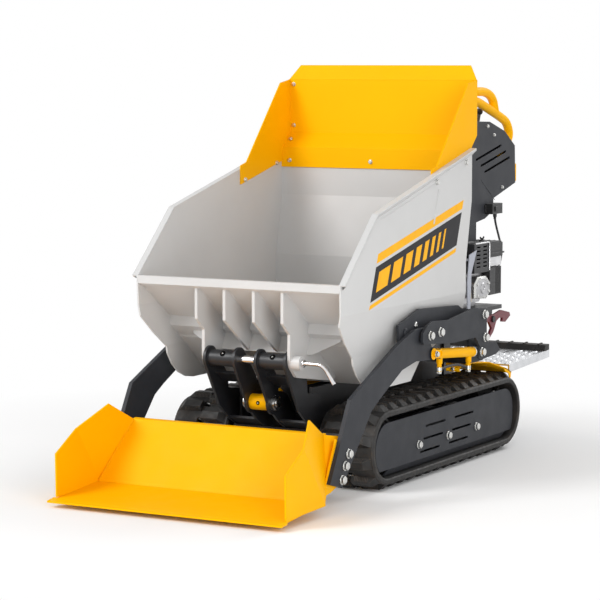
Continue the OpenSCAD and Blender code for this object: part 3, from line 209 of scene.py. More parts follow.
FINISHES = {
    "grey_paint": paint("grey_paint", (0.6, 0.598, 0.593), 0.42, cloud=0.02, edge=1.12),
    "yellow_paint": paint("yellow_paint", (1.0, 0.485, 0.0), 0.46, cloud=0.015, edge=1.0, specular=0.07),
    "anthracite_paint": paint("anthracite_paint", (0.031, 0.033, 0.0385), 0.5, peel=0.2, edge=2.0,
                              specular=0.2),
    "black_paint": paint("black_paint", (0.014, 0.0145, 0.017), 0.42, edge=3.0),
    "light_paint": paint("light_paint", (0.40, 0.42, 0.48), 0.45),
    "red_paint": paint("red_paint", (0.14, 0.018, 0.028), 0.42, edge=1.6),
    "track_rubber": rubber("track_rubber", (0.014, 0.0135, 0.013), (0.11, 0.075, 0.05, 1.0), 0.62, 0.75),
    "hose_rubber": rubber("hose_rubber", (0.011, 0.011, 0.012), (0.05, 0.045, 0.04, 1.0), 0.45, 0.2),
    "zinc_steel": metal("zinc_steel", (0.68, 0.68, 0.66), 0.26),
    "chrome_steel": metal("chrome_steel", (0.80, 0.80, 0.81), 0.09, strength=0.015),
    "cast_alloy": metal("cast_alloy", (0.50, 0.50, 0.51), 0.38, grain=420.0, strength=0.2),
    "tread_plate": metal("tread_plate", (0.70, 0.71, 0.73), 0.30, brush=(1.0, 14.0, 1.0)),
    "black_plastic": plastic("black_plastic", (0.013, 0.013, 0.014), 0.42),
    "cast_steel": metal("cast_steel", (0.10, 0.10, 0.10), 0.5, grain=350.0, strength=0.25),
    "black_vinyl": vinyl("black_vinyl", (0.016, 0.015, 0.018)),
    "yellow_vinyl": vinyl("yellow_vinyl", (1.0, 0.47, 0.002)),
    "dusty_rubber": rubber("dusty_rubber", (0.05, 0.042, 0.036), (0.13, 0.095, 0.065, 1.0), 0.7, 0.8),
    # Near-black, matt film for discs that paint the shade inside the grease nipples' recesses
    "painted_recess_shade": vinyl("painted_recess_shade", (0.002, 0.002, 0.002), 0.02),
    "brass": metal("brass", (0.72, 0.50, 0.20), 0.25),
    "white_plastic": plastic("white_plastic", (0.66, 0.66, 0.67), 0.4),
    "cream_plastic": plastic("cream_plastic", (0.52, 0.46, 0.36), 0.4),
}

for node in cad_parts.values():
    for index, material in enumerate(node.data.materials):
        slot = material.name.split(".")[0]
        node.data.materials[index] = FINISHES[slot]


# Shapes, in the millimetres of part.scad

def across(axis):
    """Two directions square to an axis and to each other."""
    start = Vector((1, 0, 0)) if abs(axis.x) < 0.9 else Vector((0, 0, 1))
    u = (start - start.dot(axis) * axis).normalized()
    return u, axis.cross(u)


def ring(bm, centre, u, v, radius, sides):
    turns = [2 * math.pi * i / sides for i in range(sides)]
    return [bm.verts.new(centre + radius * (math.cos(t) * u + math.sin(t) * v)) for t in turns]


def skin(bm, rings):
    """Joins rings of the same number of points into a closed surface."""
    count = len(rings[0])
    for a, b in zip(rings, rings[1:]):
        for i in range(count):
            j = (i + 1) % count
            bm.faces.new((a[i], a[j], b[j], b[i]))
    bm.faces.new(rings[0][::-1])
    bm.faces.new(rings[-1])


def turned(bm, place, axis, profile, sides=20):
    """A turned shape: the profile lists distances along the axis and the radius at each."""
    axis = Vector(axis).normalized()
    u, v = across(axis)
    skin(bm, [ring(bm, Vector(place) + axis * d, u, v, r, sides) for d, r in profile])


def swept(bm, line, radius, sides=14):
    """A round bar along a line; radius is a number or a list with one radius for each point."""
    line = [Vector(p) for p in line]
    radii = radius if isinstance(radius, list) else [radius] * len(line)
    rings = []
    u = None
    for i, point in enumerate(line):
        ahead = (line[min(i + 1, len(line) - 1)] - line[max(i - 1, 0)]).normalized()
        u = across(ahead)[0] if u is None else (u - u.dot(ahead) * ahead).normalized()
        rings.append(ring(bm, point, u, ahead.cross(u), radii[i], sides))
    skin(bm, rings)


def prism(bm, outline, depth):
    """A flat shape with a thickness, given as a direction."""
    low = [bm.verts.new(Vector(p)) for p in outline]
    skin(bm, [low, [bm.verts.new(v.co + Vector(depth)) for v in low]])


def plate(bm, outline, x, thickness):
    """A plate whose outline is in Y and Z, standing on a plane across X."""
    prism(bm, [(x, y, z) for y, z in outline], (thickness, 0, 0))


def block(bm, low, high, chamfer=1.0):
    """A box with its edges rounded off."""
    low, high = Vector(low), Vector(high)
    size = Matrix.Diagonal((*(high - low), 1.0))
    made = bmesh.ops.create_cube(bm, size=1.0, matrix=Matrix.Translation((low + high) / 2) @ size)
    edges = list({e for v in made["verts"] for e in v.link_edges})
    bmesh.ops.bevel(bm, geom=edges, offset=chamfer, segments=2, profile=0.5, affect="EDGES")


def spline(points, step=6.0):
    """A smooth line through points."""
    points = [Vector(p) for p in points]
    ends = [2 * points[0] - points[1], *points, 2 * points[-1] - points[-2]]
    line = []
    for a, b, c, d in zip(ends, ends[1:], ends[2:], ends[3:]):
        count = max(2, int((c - b).length / step))
        square = 2 * a - 5 * b + 4 * c - d
        cube = 3 * b - a - 3 * c + d
        for t in (i / count for i in range(count)):
            line.append(b + 0.5 * t * (c - a + t * (square + t * cube)))
    return [*line, points[-1]]


def bent(points, bend, steps=10):
    """A line with each corner rounded off, as in a bent tube."""
    points = [Vector(p) for p in points]
    line = [points[0]]
    for before, corner, after in zip(points, points[1:], points[2:]):
        back, ahead = before - corner, after - corner
        a = corner + back.normalized() * min(bend, 0.48 * back.length)
        c = corner + ahead.normalized() * min(bend, 0.48 * ahead.length)
        for t in (i / steps for i in range(steps + 1)):
            line.append((1 - t) ** 2 * a + 2 * t * (1 - t) * corner + t * t * c)
    return [*line, points[-1]]


def hex_bolt(bm, seat, axis, r):
    """A hexagon head with a chamfered crown, on a washer."""
    turned(bm, seat, axis, [(0, r * 1.12), (r * 0.05, r * 1.15), (r * 0.2, r * 1.15), (r * 0.25, r * 1.1)])
    turned(bm, seat, axis, [(r * 0.25, r), (r * 0.84, r), (r, r * 0.8)], sides=6)


def weld(bm, start, end, r=2.6):
    """A rippled weld bead between two places."""
    start, end = Vector(start), Vector(end)
    ripple = 4.0
    per_ripple = 3
    count = max(4, int((end - start).length / ripple) * per_ripple)
    line = [start.lerp(end, i / count) for i in range(count + 1)]
    radii = [r * (0.8 + 0.2 * math.sin(2 * math.pi * i / per_ripple)) for i in range(count + 1)]
    radii[0] = radii[-1] = r * 0.35
    swept(bm, line, radii, sides=8)


def stitch(bm, start, end, bead=26.0, gap=38.0):
    """A row of short welds."""
    start, end = Vector(start), Vector(end)
    run = (end - start).length
    ahead = (end - start) / run
    done = gap / 2
    while done + bead < run:
        weld(bm, start + ahead * done, start + ahead * (done + bead))
        done += bead + gap


def mirrored(side, place):
    """A place or direction of the left side, or its mirror on the right."""
    return Vector(place) * Vector((side, 1, 1))


def piece(name, bm, finish, body, replaces=(), smooth=35):
    """Makes a finished shape a piece of the model, riding on a CAD body."""
    bmesh.ops.recalc_face_normals(bm, faces=bm.faces)
    for vert in bm.verts:
        vert.co = at(*vert.co)
    mesh = bpy.data.meshes.new(name)
    bm.to_mesh(mesh)
    bm.free()
    mesh.materials.append(FINISHES[finish])
    mesh.shade_smooth()
    mesh.set_sharp_from_angle(angle=math.radians(smooth))
    made = bpy.data.objects.new(name, mesh)
    bpy.context.scene.collection.objects.link(made)
    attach(made, body)
    if replaces:
        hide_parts(*replaces)
    return made


# Fasteners, with chamfered heads in place of the CAD's plain ones

ARM_OUT = 358
LINK_IN, LINK_OUT = 332, 372
CHEEK_OUT = 370
COVER_X = 318
PIVOT, PIVOT_R = (169, 425), 12
SHOVEL_BOLTS = [(-305, 151), (-325, 121), (-342, 85)]
HOPPER_BOLTS = [(300, 858), (500, 908)]
LINK_BOLTS = [PIVOT, (546, 382), (235, 429), (539, 452)]
RAM_BOLT = (527, 340)
COVER_BOLTS = [(y, 100) for y in (207, 406, 604)]
FRAME_BOLT_R, COVER_BOLT_R, HOPPER_BOLT_R = 12, 11, 8


def bolt_rows(rows):
    """Heads on both sides: each row has its place across, the heads' radius and their places."""
    bm = bmesh.new()
    for x, r, places in rows:
        for side in SIDES:
            for y, z in places:
                hex_bolt(bm, (side * x, y, z), (side, 0, 0), r)
    return bm


piece("shovel_bolt_heads", bolt_rows([(ARM_OUT, FRAME_BOLT_R, SHOVEL_BOLTS)]), "zinc_steel", "loader",
      replaces=["shovel_bolts"])
piece("hopper_bolt_heads", bolt_rows([(HOPPER_X, HOPPER_BOLT_R, HOPPER_BOLTS)]), "zinc_steel", "hopper",
      replaces=["hopper_bolts"])
frame_bolts = bolt_rows([(LINK_OUT, FRAME_BOLT_R, LINK_BOLTS), (CHEEK_OUT, FRAME_BOLT_R, [RAM_BOLT]),
                         (COVER_X, COVER_BOLT_R, COVER_BOLTS)])
for side in SIDES:
    turned(frame_bolts, (side * LINK_IN, *PIVOT), (side, 0, 0),
           [(0, PIVOT_R - 1), (1, PIVOT_R), (LINK_OUT - LINK_IN, PIVOT_R)])
piece("frame_bolt_heads", frame_bolts, "zinc_steel", "chassis", replaces=["frame_bolts"])


# Low boss and button bolt on the face of each inner link, clear of the swinging arm

INNER_LINK_X = 340
BOSS, BUTTON = (73, 442), (140, 457)
BOSS_PROFILE = [(0, 12), (3, 12), (4.2, 10.5), (4.2, 6), (2, 5)]
BUTTON_PROFILE = [(0, 9), (2, 9), (4.2, 6), (4.2, 3.4), (2, 3.2)]

bosses, buttons = bmesh.new(), bmesh.new()
for side in SIDES:
    turned(bosses, (side * INNER_LINK_X, *BOSS), (side, 0, 0), BOSS_PROFILE, sides=28)
    turned(buttons, (side * INNER_LINK_X, *BUTTON), (side, 0, 0), BUTTON_PROFILE)
piece("link_bosses", bosses, "anthracite_paint", "chassis")
piece("link_buttons", buttons, "zinc_steel", "chassis")


# Bent tubes, round all over in place of the CAD's faceted ones

BAR_X, BAR_R, BAR_BEND, BAR_SIDES = 200, 14, 36, 24
LOWER_BAR = [(1014, 915), (1102, 964), (1078, 1012), (1020, 1032), (842, 1084), (750, 1086), (731, 1021)]
UPPER_BAR = [(985, 1044), (966, 1092), (910, 1112), (800, 1112)]

tubes = bmesh.new()
for side in SIDES:
    swept(tubes, bent([(side * BAR_X, y, z) for y, z in LOWER_BAR], BAR_BEND), BAR_R, BAR_SIDES)
left_half = [(BAR_X, y, z) for y, z in UPPER_BAR]
right_half = [(-x, y, z) for x, y, z in left_half[::-1]]
swept(tubes, bent(left_half + right_half, BAR_BEND), BAR_R, BAR_SIDES)
piece("handlebar_tubes", tubes, "yellow_paint", "chassis", replaces=["handlebar"])

PIN_START, PIN_END, PIN_R, PIN_CHAMFER = -146.5, 176.5, 11, 1.5
PIN_LENGTH = PIN_END - PIN_START
# The cranked handle, from the pin's end
HANDLE = [(-2, 0, 0), (58, 0, 0), (96, -6, -52)]
HANDLE_R, HANDLE_BEND = 5.5, 22

pin = bmesh.new()
turned(pin, (PIN_START, HINGE_Y, HINGE_Z), (1, 0, 0),
       [(0, PIN_R - PIN_CHAMFER), (PIN_CHAMFER, PIN_R), (PIN_LENGTH - PIN_CHAMFER, PIN_R),
        (PIN_LENGTH, PIN_R - PIN_CHAMFER)], sides=32)
pin_end = Vector((PIN_END, HINGE_Y, HINGE_Z))
swept(pin, bent([pin_end + Vector(step) for step in HANDLE], HANDLE_BEND), HANDLE_R, sides=20)
piece("hinge_pin_and_handle", pin, "chrome_steel", "hopper", replaces=["hinge_pin"])

CABLE = [(262, 854, 734), (262, 854, 720), (261, 862, 703), (257, 882, 682), (252, 906, 660),
         (247, 930, 636), (244, 946, 612), (243, 946, 592), (246, 932, 576), (251, 910, 565),
         (256, 888, 560), (260, 868, 558), (260, 851, 558)]
CABLE_R = 3.4
CABLE_BOOT = [(0, 6), (10, 6), (12, 4.4), (18, 4.2)]

cable = bmesh.new()
swept(cable, spline(CABLE, step=4.0), CABLE_R, sides=16)
for place, axis in ((CABLE[0], (0, 0, -1)), (CABLE[-1], (0, 1, 0))):
    turned(cable, place, axis, CABLE_BOOT)
piece("throttle_cable_sheath", cable, "hose_rubber", "chassis", replaces=["throttle_cable"])

VALVE_BANK_X = (-84, -15)
HOSE_X = sum(VALVE_BANK_X) / 2
HOSE_APART, HOSE_R, HOSE_BEND = 24, 8.6, 50
# Runs down from the valve bank, which all hoses share, and on to the motors
VALVE_RUN = [(905, 811), (872, 811), (840, 805), (772, 715)]
MOTOR_RUN = [(690, 640), (668, 480), (668, 300)]
MOTOR_Y = WHEELBASE - 10
FERRULE = [(0, 10.5), (2, 11.5), (9, 11.5), (10, 10.6), (26, 10.6), (28, 9.4)]

hoses = bmesh.new()
routes = [[(85, 602, 545), (36, 602, 545), (HOSE_X, 606, 575), (HOSE_X, 680, 680),
           *((HOSE_X, y, z) for y, z in VALVE_RUN[::-1])]]
for side in SIDES:
    x = HOSE_X + side * HOSE_APART
    routes.append([*((x, y, z) for y, z in VALVE_RUN + MOTOR_RUN), (side * 60, 720, 180),
                   (side * 64, MOTOR_Y, WHEEL_Z), (side * 95, MOTOR_Y, WHEEL_Z)])
for route in routes:
    swept(hoses, bent(route, HOSE_BEND), HOSE_R, sides=18)
piece("hydraulic_hose_set", hoses, "hose_rubber", "chassis", replaces=["hydraulic_hoses"])
ferrules = bmesh.new()
for route in routes:
    for end, inner in ((route[0], route[1]), (route[-1], route[-2])):
        axis = Vector(inner) - Vector(end)
        turned(ferrules, end, axis, FERRULE, sides=18)
piece("hose_ferrules", ferrules, "zinc_steel", "chassis")


# Hopper: welds, side graphics and small hinge parts

FRONT_TOP, FRONT_FOLD, FRONT_LOW = (-268, 577), (-192.5, 520), (-138, 479)
RIB_X, RIB_HALF = (47, 138), 4.5
FOLD_TOP, FOLD_LOW, FOLD_IN = 520, 395, 23


def wall_x(z):
    """The outer face of the hopper's side wall, which leans in between two folds."""
    return HOPPER_X - FOLD_IN * min(1.0, max(0.0, (FOLD_TOP - z) / (FOLD_TOP - FOLD_LOW)))


welds = bmesh.new()
for side in SIDES:
    for rib in RIB_X:
        for face in (-RIB_HALF, RIB_HALF):
            x = side * rib + face
            weld(welds, (x, *FRONT_TOP), (x, *FRONT_LOW))
    for ends in ((FRONT_TOP, FRONT_FOLD), (FRONT_FOLD, FRONT_LOW)):
        stitch(welds, *((side * (wall_x(z) - HOPPER_T), y, z) for y, z in ends))
piece("front_wall_welds", welds, "grey_paint", "hopper")

# Side graphics: a dark band with bars of falling width, between two stripes
RISE, LEAN = 0.22, 0.36
BAND_FRONT, BAND_LENGTH, BAND_LOW, BAND_HEIGHT = -118, 555, 543, 96
STRIPES = ((-20, 12), (BAND_HEIGHT + 10, 26))
BAR_WIDTHS = (70, 56, 44, 34, 26, 20, 15, 11)
FIRST_BAR, BAR_GAP, BAR_MARGIN = 26, 22, 20
VINYL = 0.35


def slanted(start, length, low, height):
    """A bar that rises along the hopper's side, with leaning ends."""
    y0 = BAND_FRONT + start
    z0 = BAND_LOW + RISE * start + low
    foot = LEAN * low
    head = LEAN * (low + height)
    return [(y0 + foot, z0), (y0 + foot + length, z0 + RISE * length),
            (y0 + head + length, z0 + RISE * length + height), (y0 + head, z0 + height)]


field, bars = bmesh.new(), bmesh.new()
for side in SIDES:
    x = side * HOPPER_X
    plate(field, slanted(0, BAND_LENGTH, 0, BAND_HEIGHT), x, side * VINYL)
    for low, height in STRIPES:
        plate(bars, slanted(0, BAND_LENGTH, low, height), x, side * VINYL)
    start = FIRST_BAR
    for width in BAR_WIDTHS:
        outline = slanted(start, width, BAR_MARGIN, BAND_HEIGHT - 2 * BAR_MARGIN)
        plate(bars, outline, x + side * VINYL, side * VINYL)
        start += width + BAR_GAP
piece("side_band", field, "black_vinyl", "hopper")
piece("side_bars", bars, "yellow_vinyl", "hopper")

# Slanted underside that closes the folded flange, open at its front end
EDGE = [(-293, 605), (-98, 788), (542, 949)]
FLANGE_OUT, FLANGE_DEEP, LAP, FOLD_T = 341, 20, 0.5, 2
# Round the fold: across the hopper, and down from its edge
FOLD_CORNERS = ((FLANGE_OUT, HOPPER_T - LAP), (FLANGE_OUT, HOPPER_T + FOLD_T),
                (HOPPER_X - LAP, FLANGE_DEEP), (HOPPER_X - LAP, FLANGE_DEEP - FOLD_T))


def run_at(line, i):
    """The direction of a line in Y and Z at one of its points."""
    before, after = line[max(i - 1, 0)], line[min(i + 1, len(line) - 1)]
    return Vector((after[0] - before[0], after[1] - before[1])).normalized()


folds = bmesh.new()
for side in SIDES:
    rings = []
    for i, (y, z) in enumerate(EDGE):
        run = run_at(EDGE, i)
        corners = [(side * x, y + run.y * down, z - run.x * down) for x, down in FOLD_CORNERS]
        rings.append([folds.verts.new(corner) for corner in corners])
    skin(folds, rings)
piece("flange_folds", folds, "grey_paint", "hopper")

# Pressed bead on the side, and the seam under its flange
BEAD = ((316, 838), (281, 736))
BEAD_SHARES = (0.0, 0.02, 0.05, 0.95, 0.98, 1.0)
BEAD_RADII = [1.2, 2.8, 3.4, 3.4, 2.8, 1.2]
BEAD_X, SEAM_X = HOPPER_X - 0.8, HOPPER_X + 0.1
SEAM, SEAM_R = ((-54, 770), (315, 860)), 0.8

beads = bmesh.new()
for side in SIDES:
    top, foot = (Vector((side * BEAD_X, y, z)) for y, z in BEAD)
    swept(beads, [top.lerp(foot, share) for share in BEAD_SHARES], BEAD_RADII, sides=12)
    swept(beads, [(side * SEAM_X, y, z) for y, z in SEAM], SEAM_R, sides=8)
piece("side_beads", beads, "grey_paint", "hopper")

# Grease nipples on the hinge tubes and on the tipping ram's eye, each on a near-black disc that paints the
# shade of its recess
NIPPLE_X, NIPPLE_REACH, NIPPLE_TURN = (-77, 84), 22.6, 0.7
TUBE_SHADE_DISC = [(0, 8.6), (0.5, 8.6), (0.7, 8.2)]
TUBE_NIPPLE = [(0.5, 1.7), (1.4, 1.7), (2.0, 2.3), (2.8, 1.6)]
EYE, EYE_REACH = Vector((0, -151, 248)), 22.4
EYE_SHADE_DISC = [(0, 5.8), (0.6, 5.8), (0.8, 5.4)]
EYE_NIPPLE = [(0.6, 1.7), (1.6, 1.7), (2.2, 2.3), (3.0, 1.6)]

# Each disc stands proud by under a millimetre and holds no hollow: its near-black colour is painted shade
nipples, shade_discs = bmesh.new(), bmesh.new()
up_front = Vector((0, -math.cos(NIPPLE_TURN), math.sin(NIPPLE_TURN)))
for x in NIPPLE_X:
    seat = Vector((x, HINGE_Y, HINGE_Z)) + NIPPLE_REACH * up_front
    turned(shade_discs, seat, up_front, TUBE_SHADE_DISC)
    turned(nipples, seat, up_front, TUBE_NIPPLE, sides=12)
piece("grease_nipples", nipples, "zinc_steel", "chassis")
piece("nipple_shade_discs", shade_discs, "painted_recess_shade", "chassis")

# The eye's near-black disc is painted shade for its recess too
eye_nipple, eye_shade_disc = bmesh.new(), bmesh.new()
front = Vector((0, -1, 0))
turned(eye_shade_disc, EYE + EYE_REACH * front, front, EYE_SHADE_DISC)
turned(eye_nipple, EYE + EYE_REACH * front, front, EYE_NIPPLE, sides=12)
piece("eye_nipple", eye_nipple, "zinc_steel", "tip_barrel")
piece("eye_shade_disc", eye_shade_disc, "painted_recess_shade", "tip_barrel")


# Spill guard: bolts through its folds

SPILL_BOLT_R = 6
# Each bolt's seat and axis on the left side
SPILL_BOLTS = [((306, 583, 1135), (0, -1, 0)), ((306, 583, 1008), (0, -1, 0)),
               ((303, 557.5, 965.5), (0, -0.68, 0.74)), ((293, 533, 901), (0, -1, 0)),
               ((318, 495, 893), (-1, 0, 0)), ((318, 300, 850), (-1, 0, 0))]
MIDDLE_BOLT = (-10, 533, 901)

spill_bolts = bmesh.new()
for side in SIDES:
    for seat, axis in SPILL_BOLTS:
        hex_bolt(spill_bolts, mirrored(side, seat), mirrored(side, axis), SPILL_BOLT_R)
hex_bolt(spill_bolts, MIDDLE_BOLT, (0, -1, 0), SPILL_BOLT_R)
piece("spill_guard_bolts", spill_bolts, "zinc_steel", "hopper")


# Platform: raised lozenges of the tread plate

PLATFORM_Y, PLATFORM_Z = 851, 250
TILT = Matrix.Rotation(math.radians(2.5), 3, "X")
TREAD_TOP, TREAD_RISE, TREAD_PITCH = 9.0, 2.2, 26.0
TREAD_X, TREAD_Y, TREAD_COLUMNS, TREAD_ROWS = -286, 32, 23, 10
# Round the plate's two slots there are no lozenges
SLOT_X, SLOT_HALF, SLOT_START, SLOT_END = 197, 24, 200, 280
LOZENGE = ((-13, 0), (-5, -4.2), (5, -4.2), (13, 0), (5, 4.2), (-5, 4.2))
CROWN_LONG, CROWN_WIDE = 0.72, 0.45


def on_platform(place, lift):
    return Vector((0, PLATFORM_Y, PLATFORM_Z)) + TILT @ Vector((place.x, place.y, lift))


def lozenge(bm, x, y, turn):
    """A raised lozenge with sloping flanks."""
    along = Vector((math.cos(turn), math.sin(turn), 0))
    wide = Vector((-along.y, along.x, 0))
    middle = Vector((x, y, 0))
    foot, crown = [], []
    for a, w in LOZENGE:
        low = middle + a * along + w * wide
        high = middle + CROWN_LONG * a * along + CROWN_WIDE * w * wide
        foot.append(bm.verts.new(on_platform(low, TREAD_TOP)))
        crown.append(bm.verts.new(on_platform(high, TREAD_TOP + TREAD_RISE)))
    skin(bm, [foot, crown])


tread = bmesh.new()
for row in range(TREAD_ROWS):
    for column in range(TREAD_COLUMNS):
        x = TREAD_X + column * TREAD_PITCH
        y = TREAD_Y + row * TREAD_PITCH
        if abs(abs(x) - SLOT_X) < SLOT_HALF and SLOT_START < y < SLOT_END:
            continue
        lozenge(tread, x, y, math.radians(45 if (row + column) % 2 else -45))
piece("tread_lozenges", tread, "tread_plate", "platform")


# Lift rams: end caps, hose fittings, gland rings and the line between the fittings

RAM_START = Vector((352, 213, 367))
RAM_AHEAD = Vector((0, 314, -27)).normalized()
RAM_DOWN = Vector((0, -27, -314)).normalized()
# End cap: plates with their start and end along the ram and half their height, and a round on the pin
CAP_IN, CAP_T, CAP_R = 6.2, 4.8, 17.5
CAP_PLATES = ((0, 52, 12.4), (43.5, 53.5, 14.5))
RAM_PIN_OUT, RAM_PIN_R = 19, 8
GLAND_AT, GLAND = 284, [(0, 15.4), (1, 16.4), (4, 16.4), (5, 15.4)]
FITTINGS, FITTING_TOP = (62, 262), 40
WASHER_T, UNION_L = 1.8, 10
WASHER, UNION = [(0, 9), (WASHER_T, 9)], [(0, 8.5), (UNION_L, 8.5)]
UNION_NUT = [(0, 8.5), (5, 8.5), (6.5, 7)]
RAM_LINE, RAM_LINE_R = [(70, 47), (110, 40), (180, 36), (220, 40), (254, 47)], 4.2


def on_ram(side, along, down, out=0.0):
    """A place on a ram: along it, square down from it, and outward."""
    place = RAM_START + RAM_AHEAD * along + RAM_DOWN * down + Vector((out, 0, 0))
    return mirrored(side, place)


for side, word in NAMED_SIDES:
    body = "lift_barrel_" + word
    steel, brass, cap, line = bmesh.new(), bmesh.new(), bmesh.new(), bmesh.new()
    for start, end, half in CAP_PLATES:
        corners = ((start, -half), (end, -half), (end, half), (start, half))
        outline = [on_ram(side, along, down, CAP_IN) for along, down in corners]
        prism(cap, outline, (side * CAP_T, 0, 0))
    turned(cap, on_ram(side, 0, 0, CAP_IN), (side, 0, 0), [(0, CAP_R), (CAP_T, CAP_R)], sides=28)
    turned(steel, on_ram(side, GLAND_AT, 0), RAM_AHEAD, GLAND, sides=28)
    for along in FITTINGS:
        down = FITTING_TOP
        turned(brass, on_ram(side, along, down), RAM_DOWN, WASHER)
        down += WASHER_T
        turned(steel, on_ram(side, along, down), RAM_DOWN, UNION)
        down += UNION_L
        turned(brass, on_ram(side, along, down), RAM_DOWN, WASHER)
        down += WASHER_T
        turned(steel, on_ram(side, along, down), RAM_DOWN, UNION_NUT, sides=6)
    route = spline([on_ram(side, along, down) for along, down in RAM_LINE], step=5.0)
    swept(line, route, RAM_LINE_R, sides=12)
    hex_bolt(steel, on_ram(side, 0, 0, RAM_PIN_OUT), (side, 0, 0), RAM_PIN_R)
    piece("ram_fittings_" + word, steel, "zinc_steel", body)
    piece("ram_washers_" + word, brass, "brass", body)
    piece("ram_end_cap_" + word, cap, "black_paint", body)
    piece("ram_hose_" + word, line, "hose_rubber", body)


# Track belts: carcass with drive windows, guide horns, steel cores, and bevelled lugs with fine ribs

TRACK_X, PITCH, LINKS = 240, 60, 37
PITCH_R, WHEEL_R, BELT_R, LUG_TOP = 96.5, 88, 105, 121
# Where a link has its guide horns and the middle of its window, as shares of the pitch
HORN_AT, WINDOW_AT = 0.25, 0.75
WINDOW_HW, WINDOW_L = 13, 22
CARCASS_STEPS = (-45, -28, -WINDOW_L / 2, 0, WINDOW_L / 2)
ARC = math.pi * PITCH_R
# Round the carcass: across the belt, and out from the axles
CARCASS = [(-87, WHEEL_R), (-WINDOW_HW, WHEEL_R), (WINDOW_HW, WHEEL_R), (87, WHEEL_R), (90, 91), (90, 100),
           (86, BELT_R), (WINDOW_HW, BELT_R), (-WINDOW_HW, BELT_R), (-86, BELT_R), (-90, 100), (-90, 91)]
# The strips and corners of the carcass that a window cuts, by number
MIDDLES = (1, 7)
WINDOW_FLANKS = ((1, 8), (2, 7))
WINDOW_CORNERS = (1, 2, 7, 8)
# Hand 1 is the belt's outer half, with a lug at each link's start; the inner lugs stand half a link on
LUG_HANDS = ((1, 0.0), (-1, 0.5))
# Steps of a lug and of a horn: out from the axles, both ends across, and half the length
LUG = [(BELT_R - 1, 6, 82, 16.5), (LUG_TOP - 1.6, 6, 64.5, 12.6), (LUG_TOP, 7, 62.5, 11.4)]
HORN = [(WHEEL_R + 1, 21, 35, 8), (78, 22.5, 33.5, 6)]
# Foot and head of a lug's rib: out from the axles, and along from the lug's middle
RIB_FOOT, RIB_HEAD, RIB_HW = (BELT_R + 1, 16.0), (LUG_TOP - 2.5, 12.8), 1.1
RIB_PLACES = range(18, 60, 5)
# The way that a rib stands off its lug: out from the axles, and along
RIB_OUT, RIB_AHEAD = 4, 14
CORE_X, CORE_RADII, CORE_R = (-13, -6, 6, 13), [3.2, 4.4, 4.4, 3.2], WHEEL_R + 8


def on_belt(distance, x, out, ahead=0.0):
    """A place on the belt: how far along it, across, and out from the wheels' axles; never below ground."""
    d = distance % (2 * WHEELBASE + 2 * ARC)
    if d < WHEELBASE:
        y, turn = d, -90.0
    elif d < WHEELBASE + ARC:
        y, turn = WHEELBASE, (d - WHEELBASE) / ARC * 180 - 90
    elif d < 2 * WHEELBASE + ARC:
        y, turn = 2 * WHEELBASE + ARC - d, 90.0
    else:
        y, turn = 0.0, 90 + (d - 2 * WHEELBASE - ARC) / ARC * 180
    t = math.radians(turn)
    outward = Vector((0, math.cos(t), math.sin(t)))
    forward = Vector((0, -math.sin(t), math.cos(t)))
    place = Vector((x, y, WHEEL_Z)) + outward * out + forward * ahead
    place.z = max(place.z, 0.0)
    return place


def carcass(bm, side):
    """The belt's loop, open at a window in each link for the sprocket's teeth."""
    rings, opened = [], []
    for link in range(LINKS):
        for step in CARCASS_STEPS:
            distance = (link + WINDOW_AT) * PITCH + step
            rings.append([bm.verts.new(on_belt(distance, side * (TRACK_X + x), out)) for x, out in CARCASS])
            opened.append(step in (-WINDOW_L / 2, 0))
    count = len(CARCASS)
    for i, window in enumerate(opened):
        a, b = rings[i], rings[(i + 1) % len(rings)]
        for k in range(count):
            if not (window and k in MIDDLES):
                bm.faces.new((a[k], a[(k + 1) % count], b[(k + 1) % count], b[k]))
        if window:
            for inner, outer in WINDOW_FLANKS:
                bm.faces.new((a[inner], a[outer], b[outer], b[inner]))
        if window != opened[i - 1]:
            bm.faces.new([a[k] for k in WINDOW_CORNERS])


def belt_block(bm, side, hand, distance, steps):
    """A block on the belt's outer or inner half, built up in steps."""
    rings = []
    for out, x0, x1, half in steps:
        corners = ((x0, -half), (x1, -half), (x1, half), (x0, half))
        places = [on_belt(distance, side * (TRACK_X + hand * x), out, ahead) for x, ahead in corners]
        rings.append([bm.verts.new(place) for place in places])
    skin(bm, rings)


def lug_rib(bm, side, distance, x, flank):
    """A fine moulded rib on a lug's flank."""
    corners = ((-RIB_HW, *RIB_FOOT), (RIB_HW, *RIB_FOOT), (RIB_HW, *RIB_HEAD), (-RIB_HW, *RIB_HEAD))
    outline = [on_belt(distance, side * (TRACK_X + x + w), out, flank * ahead) for w, out, ahead in corners]
    lift = on_belt(distance, 0, BELT_R + RIB_OUT, flank * RIB_AHEAD) - on_belt(distance, 0, BELT_R)
    prism(bm, outline, lift.normalized())


for side, word in NAMED_SIDES:
    belt, cores, ribs = bmesh.new(), bmesh.new(), bmesh.new()
    carcass(belt, side)
    for link in range(LINKS):
        for hand, share in LUG_HANDS:
            distance = (link + share) * PITCH
            belt_block(belt, side, hand, distance, LUG)
            belt_block(belt, side, hand, (link + HORN_AT) * PITCH, HORN)
            for x in RIB_PLACES:
                for flank in (-1, 1):
                    lug_rib(ribs, side, distance, hand * x, flank)
        window = (link + WINDOW_AT) * PITCH
        for edge in (-WINDOW_L / 2, WINDOW_L / 2):
            line = [on_belt(window, side * (TRACK_X + x), CORE_R, edge) for x in CORE_X]
            swept(cores, line, CORE_RADII, sides=10)
    piece("belt_" + word, belt, "track_rubber", "chassis", replaces=["track_belt_" + word])
    piece("belt_cores_" + word, cores, "zinc_steel", "chassis")
    piece("lug_ribs_" + word, ribs, "dusty_rubber", "chassis")


# Mudguards: a folded sheet over the rear of each belt, with an inner web and a rear lip

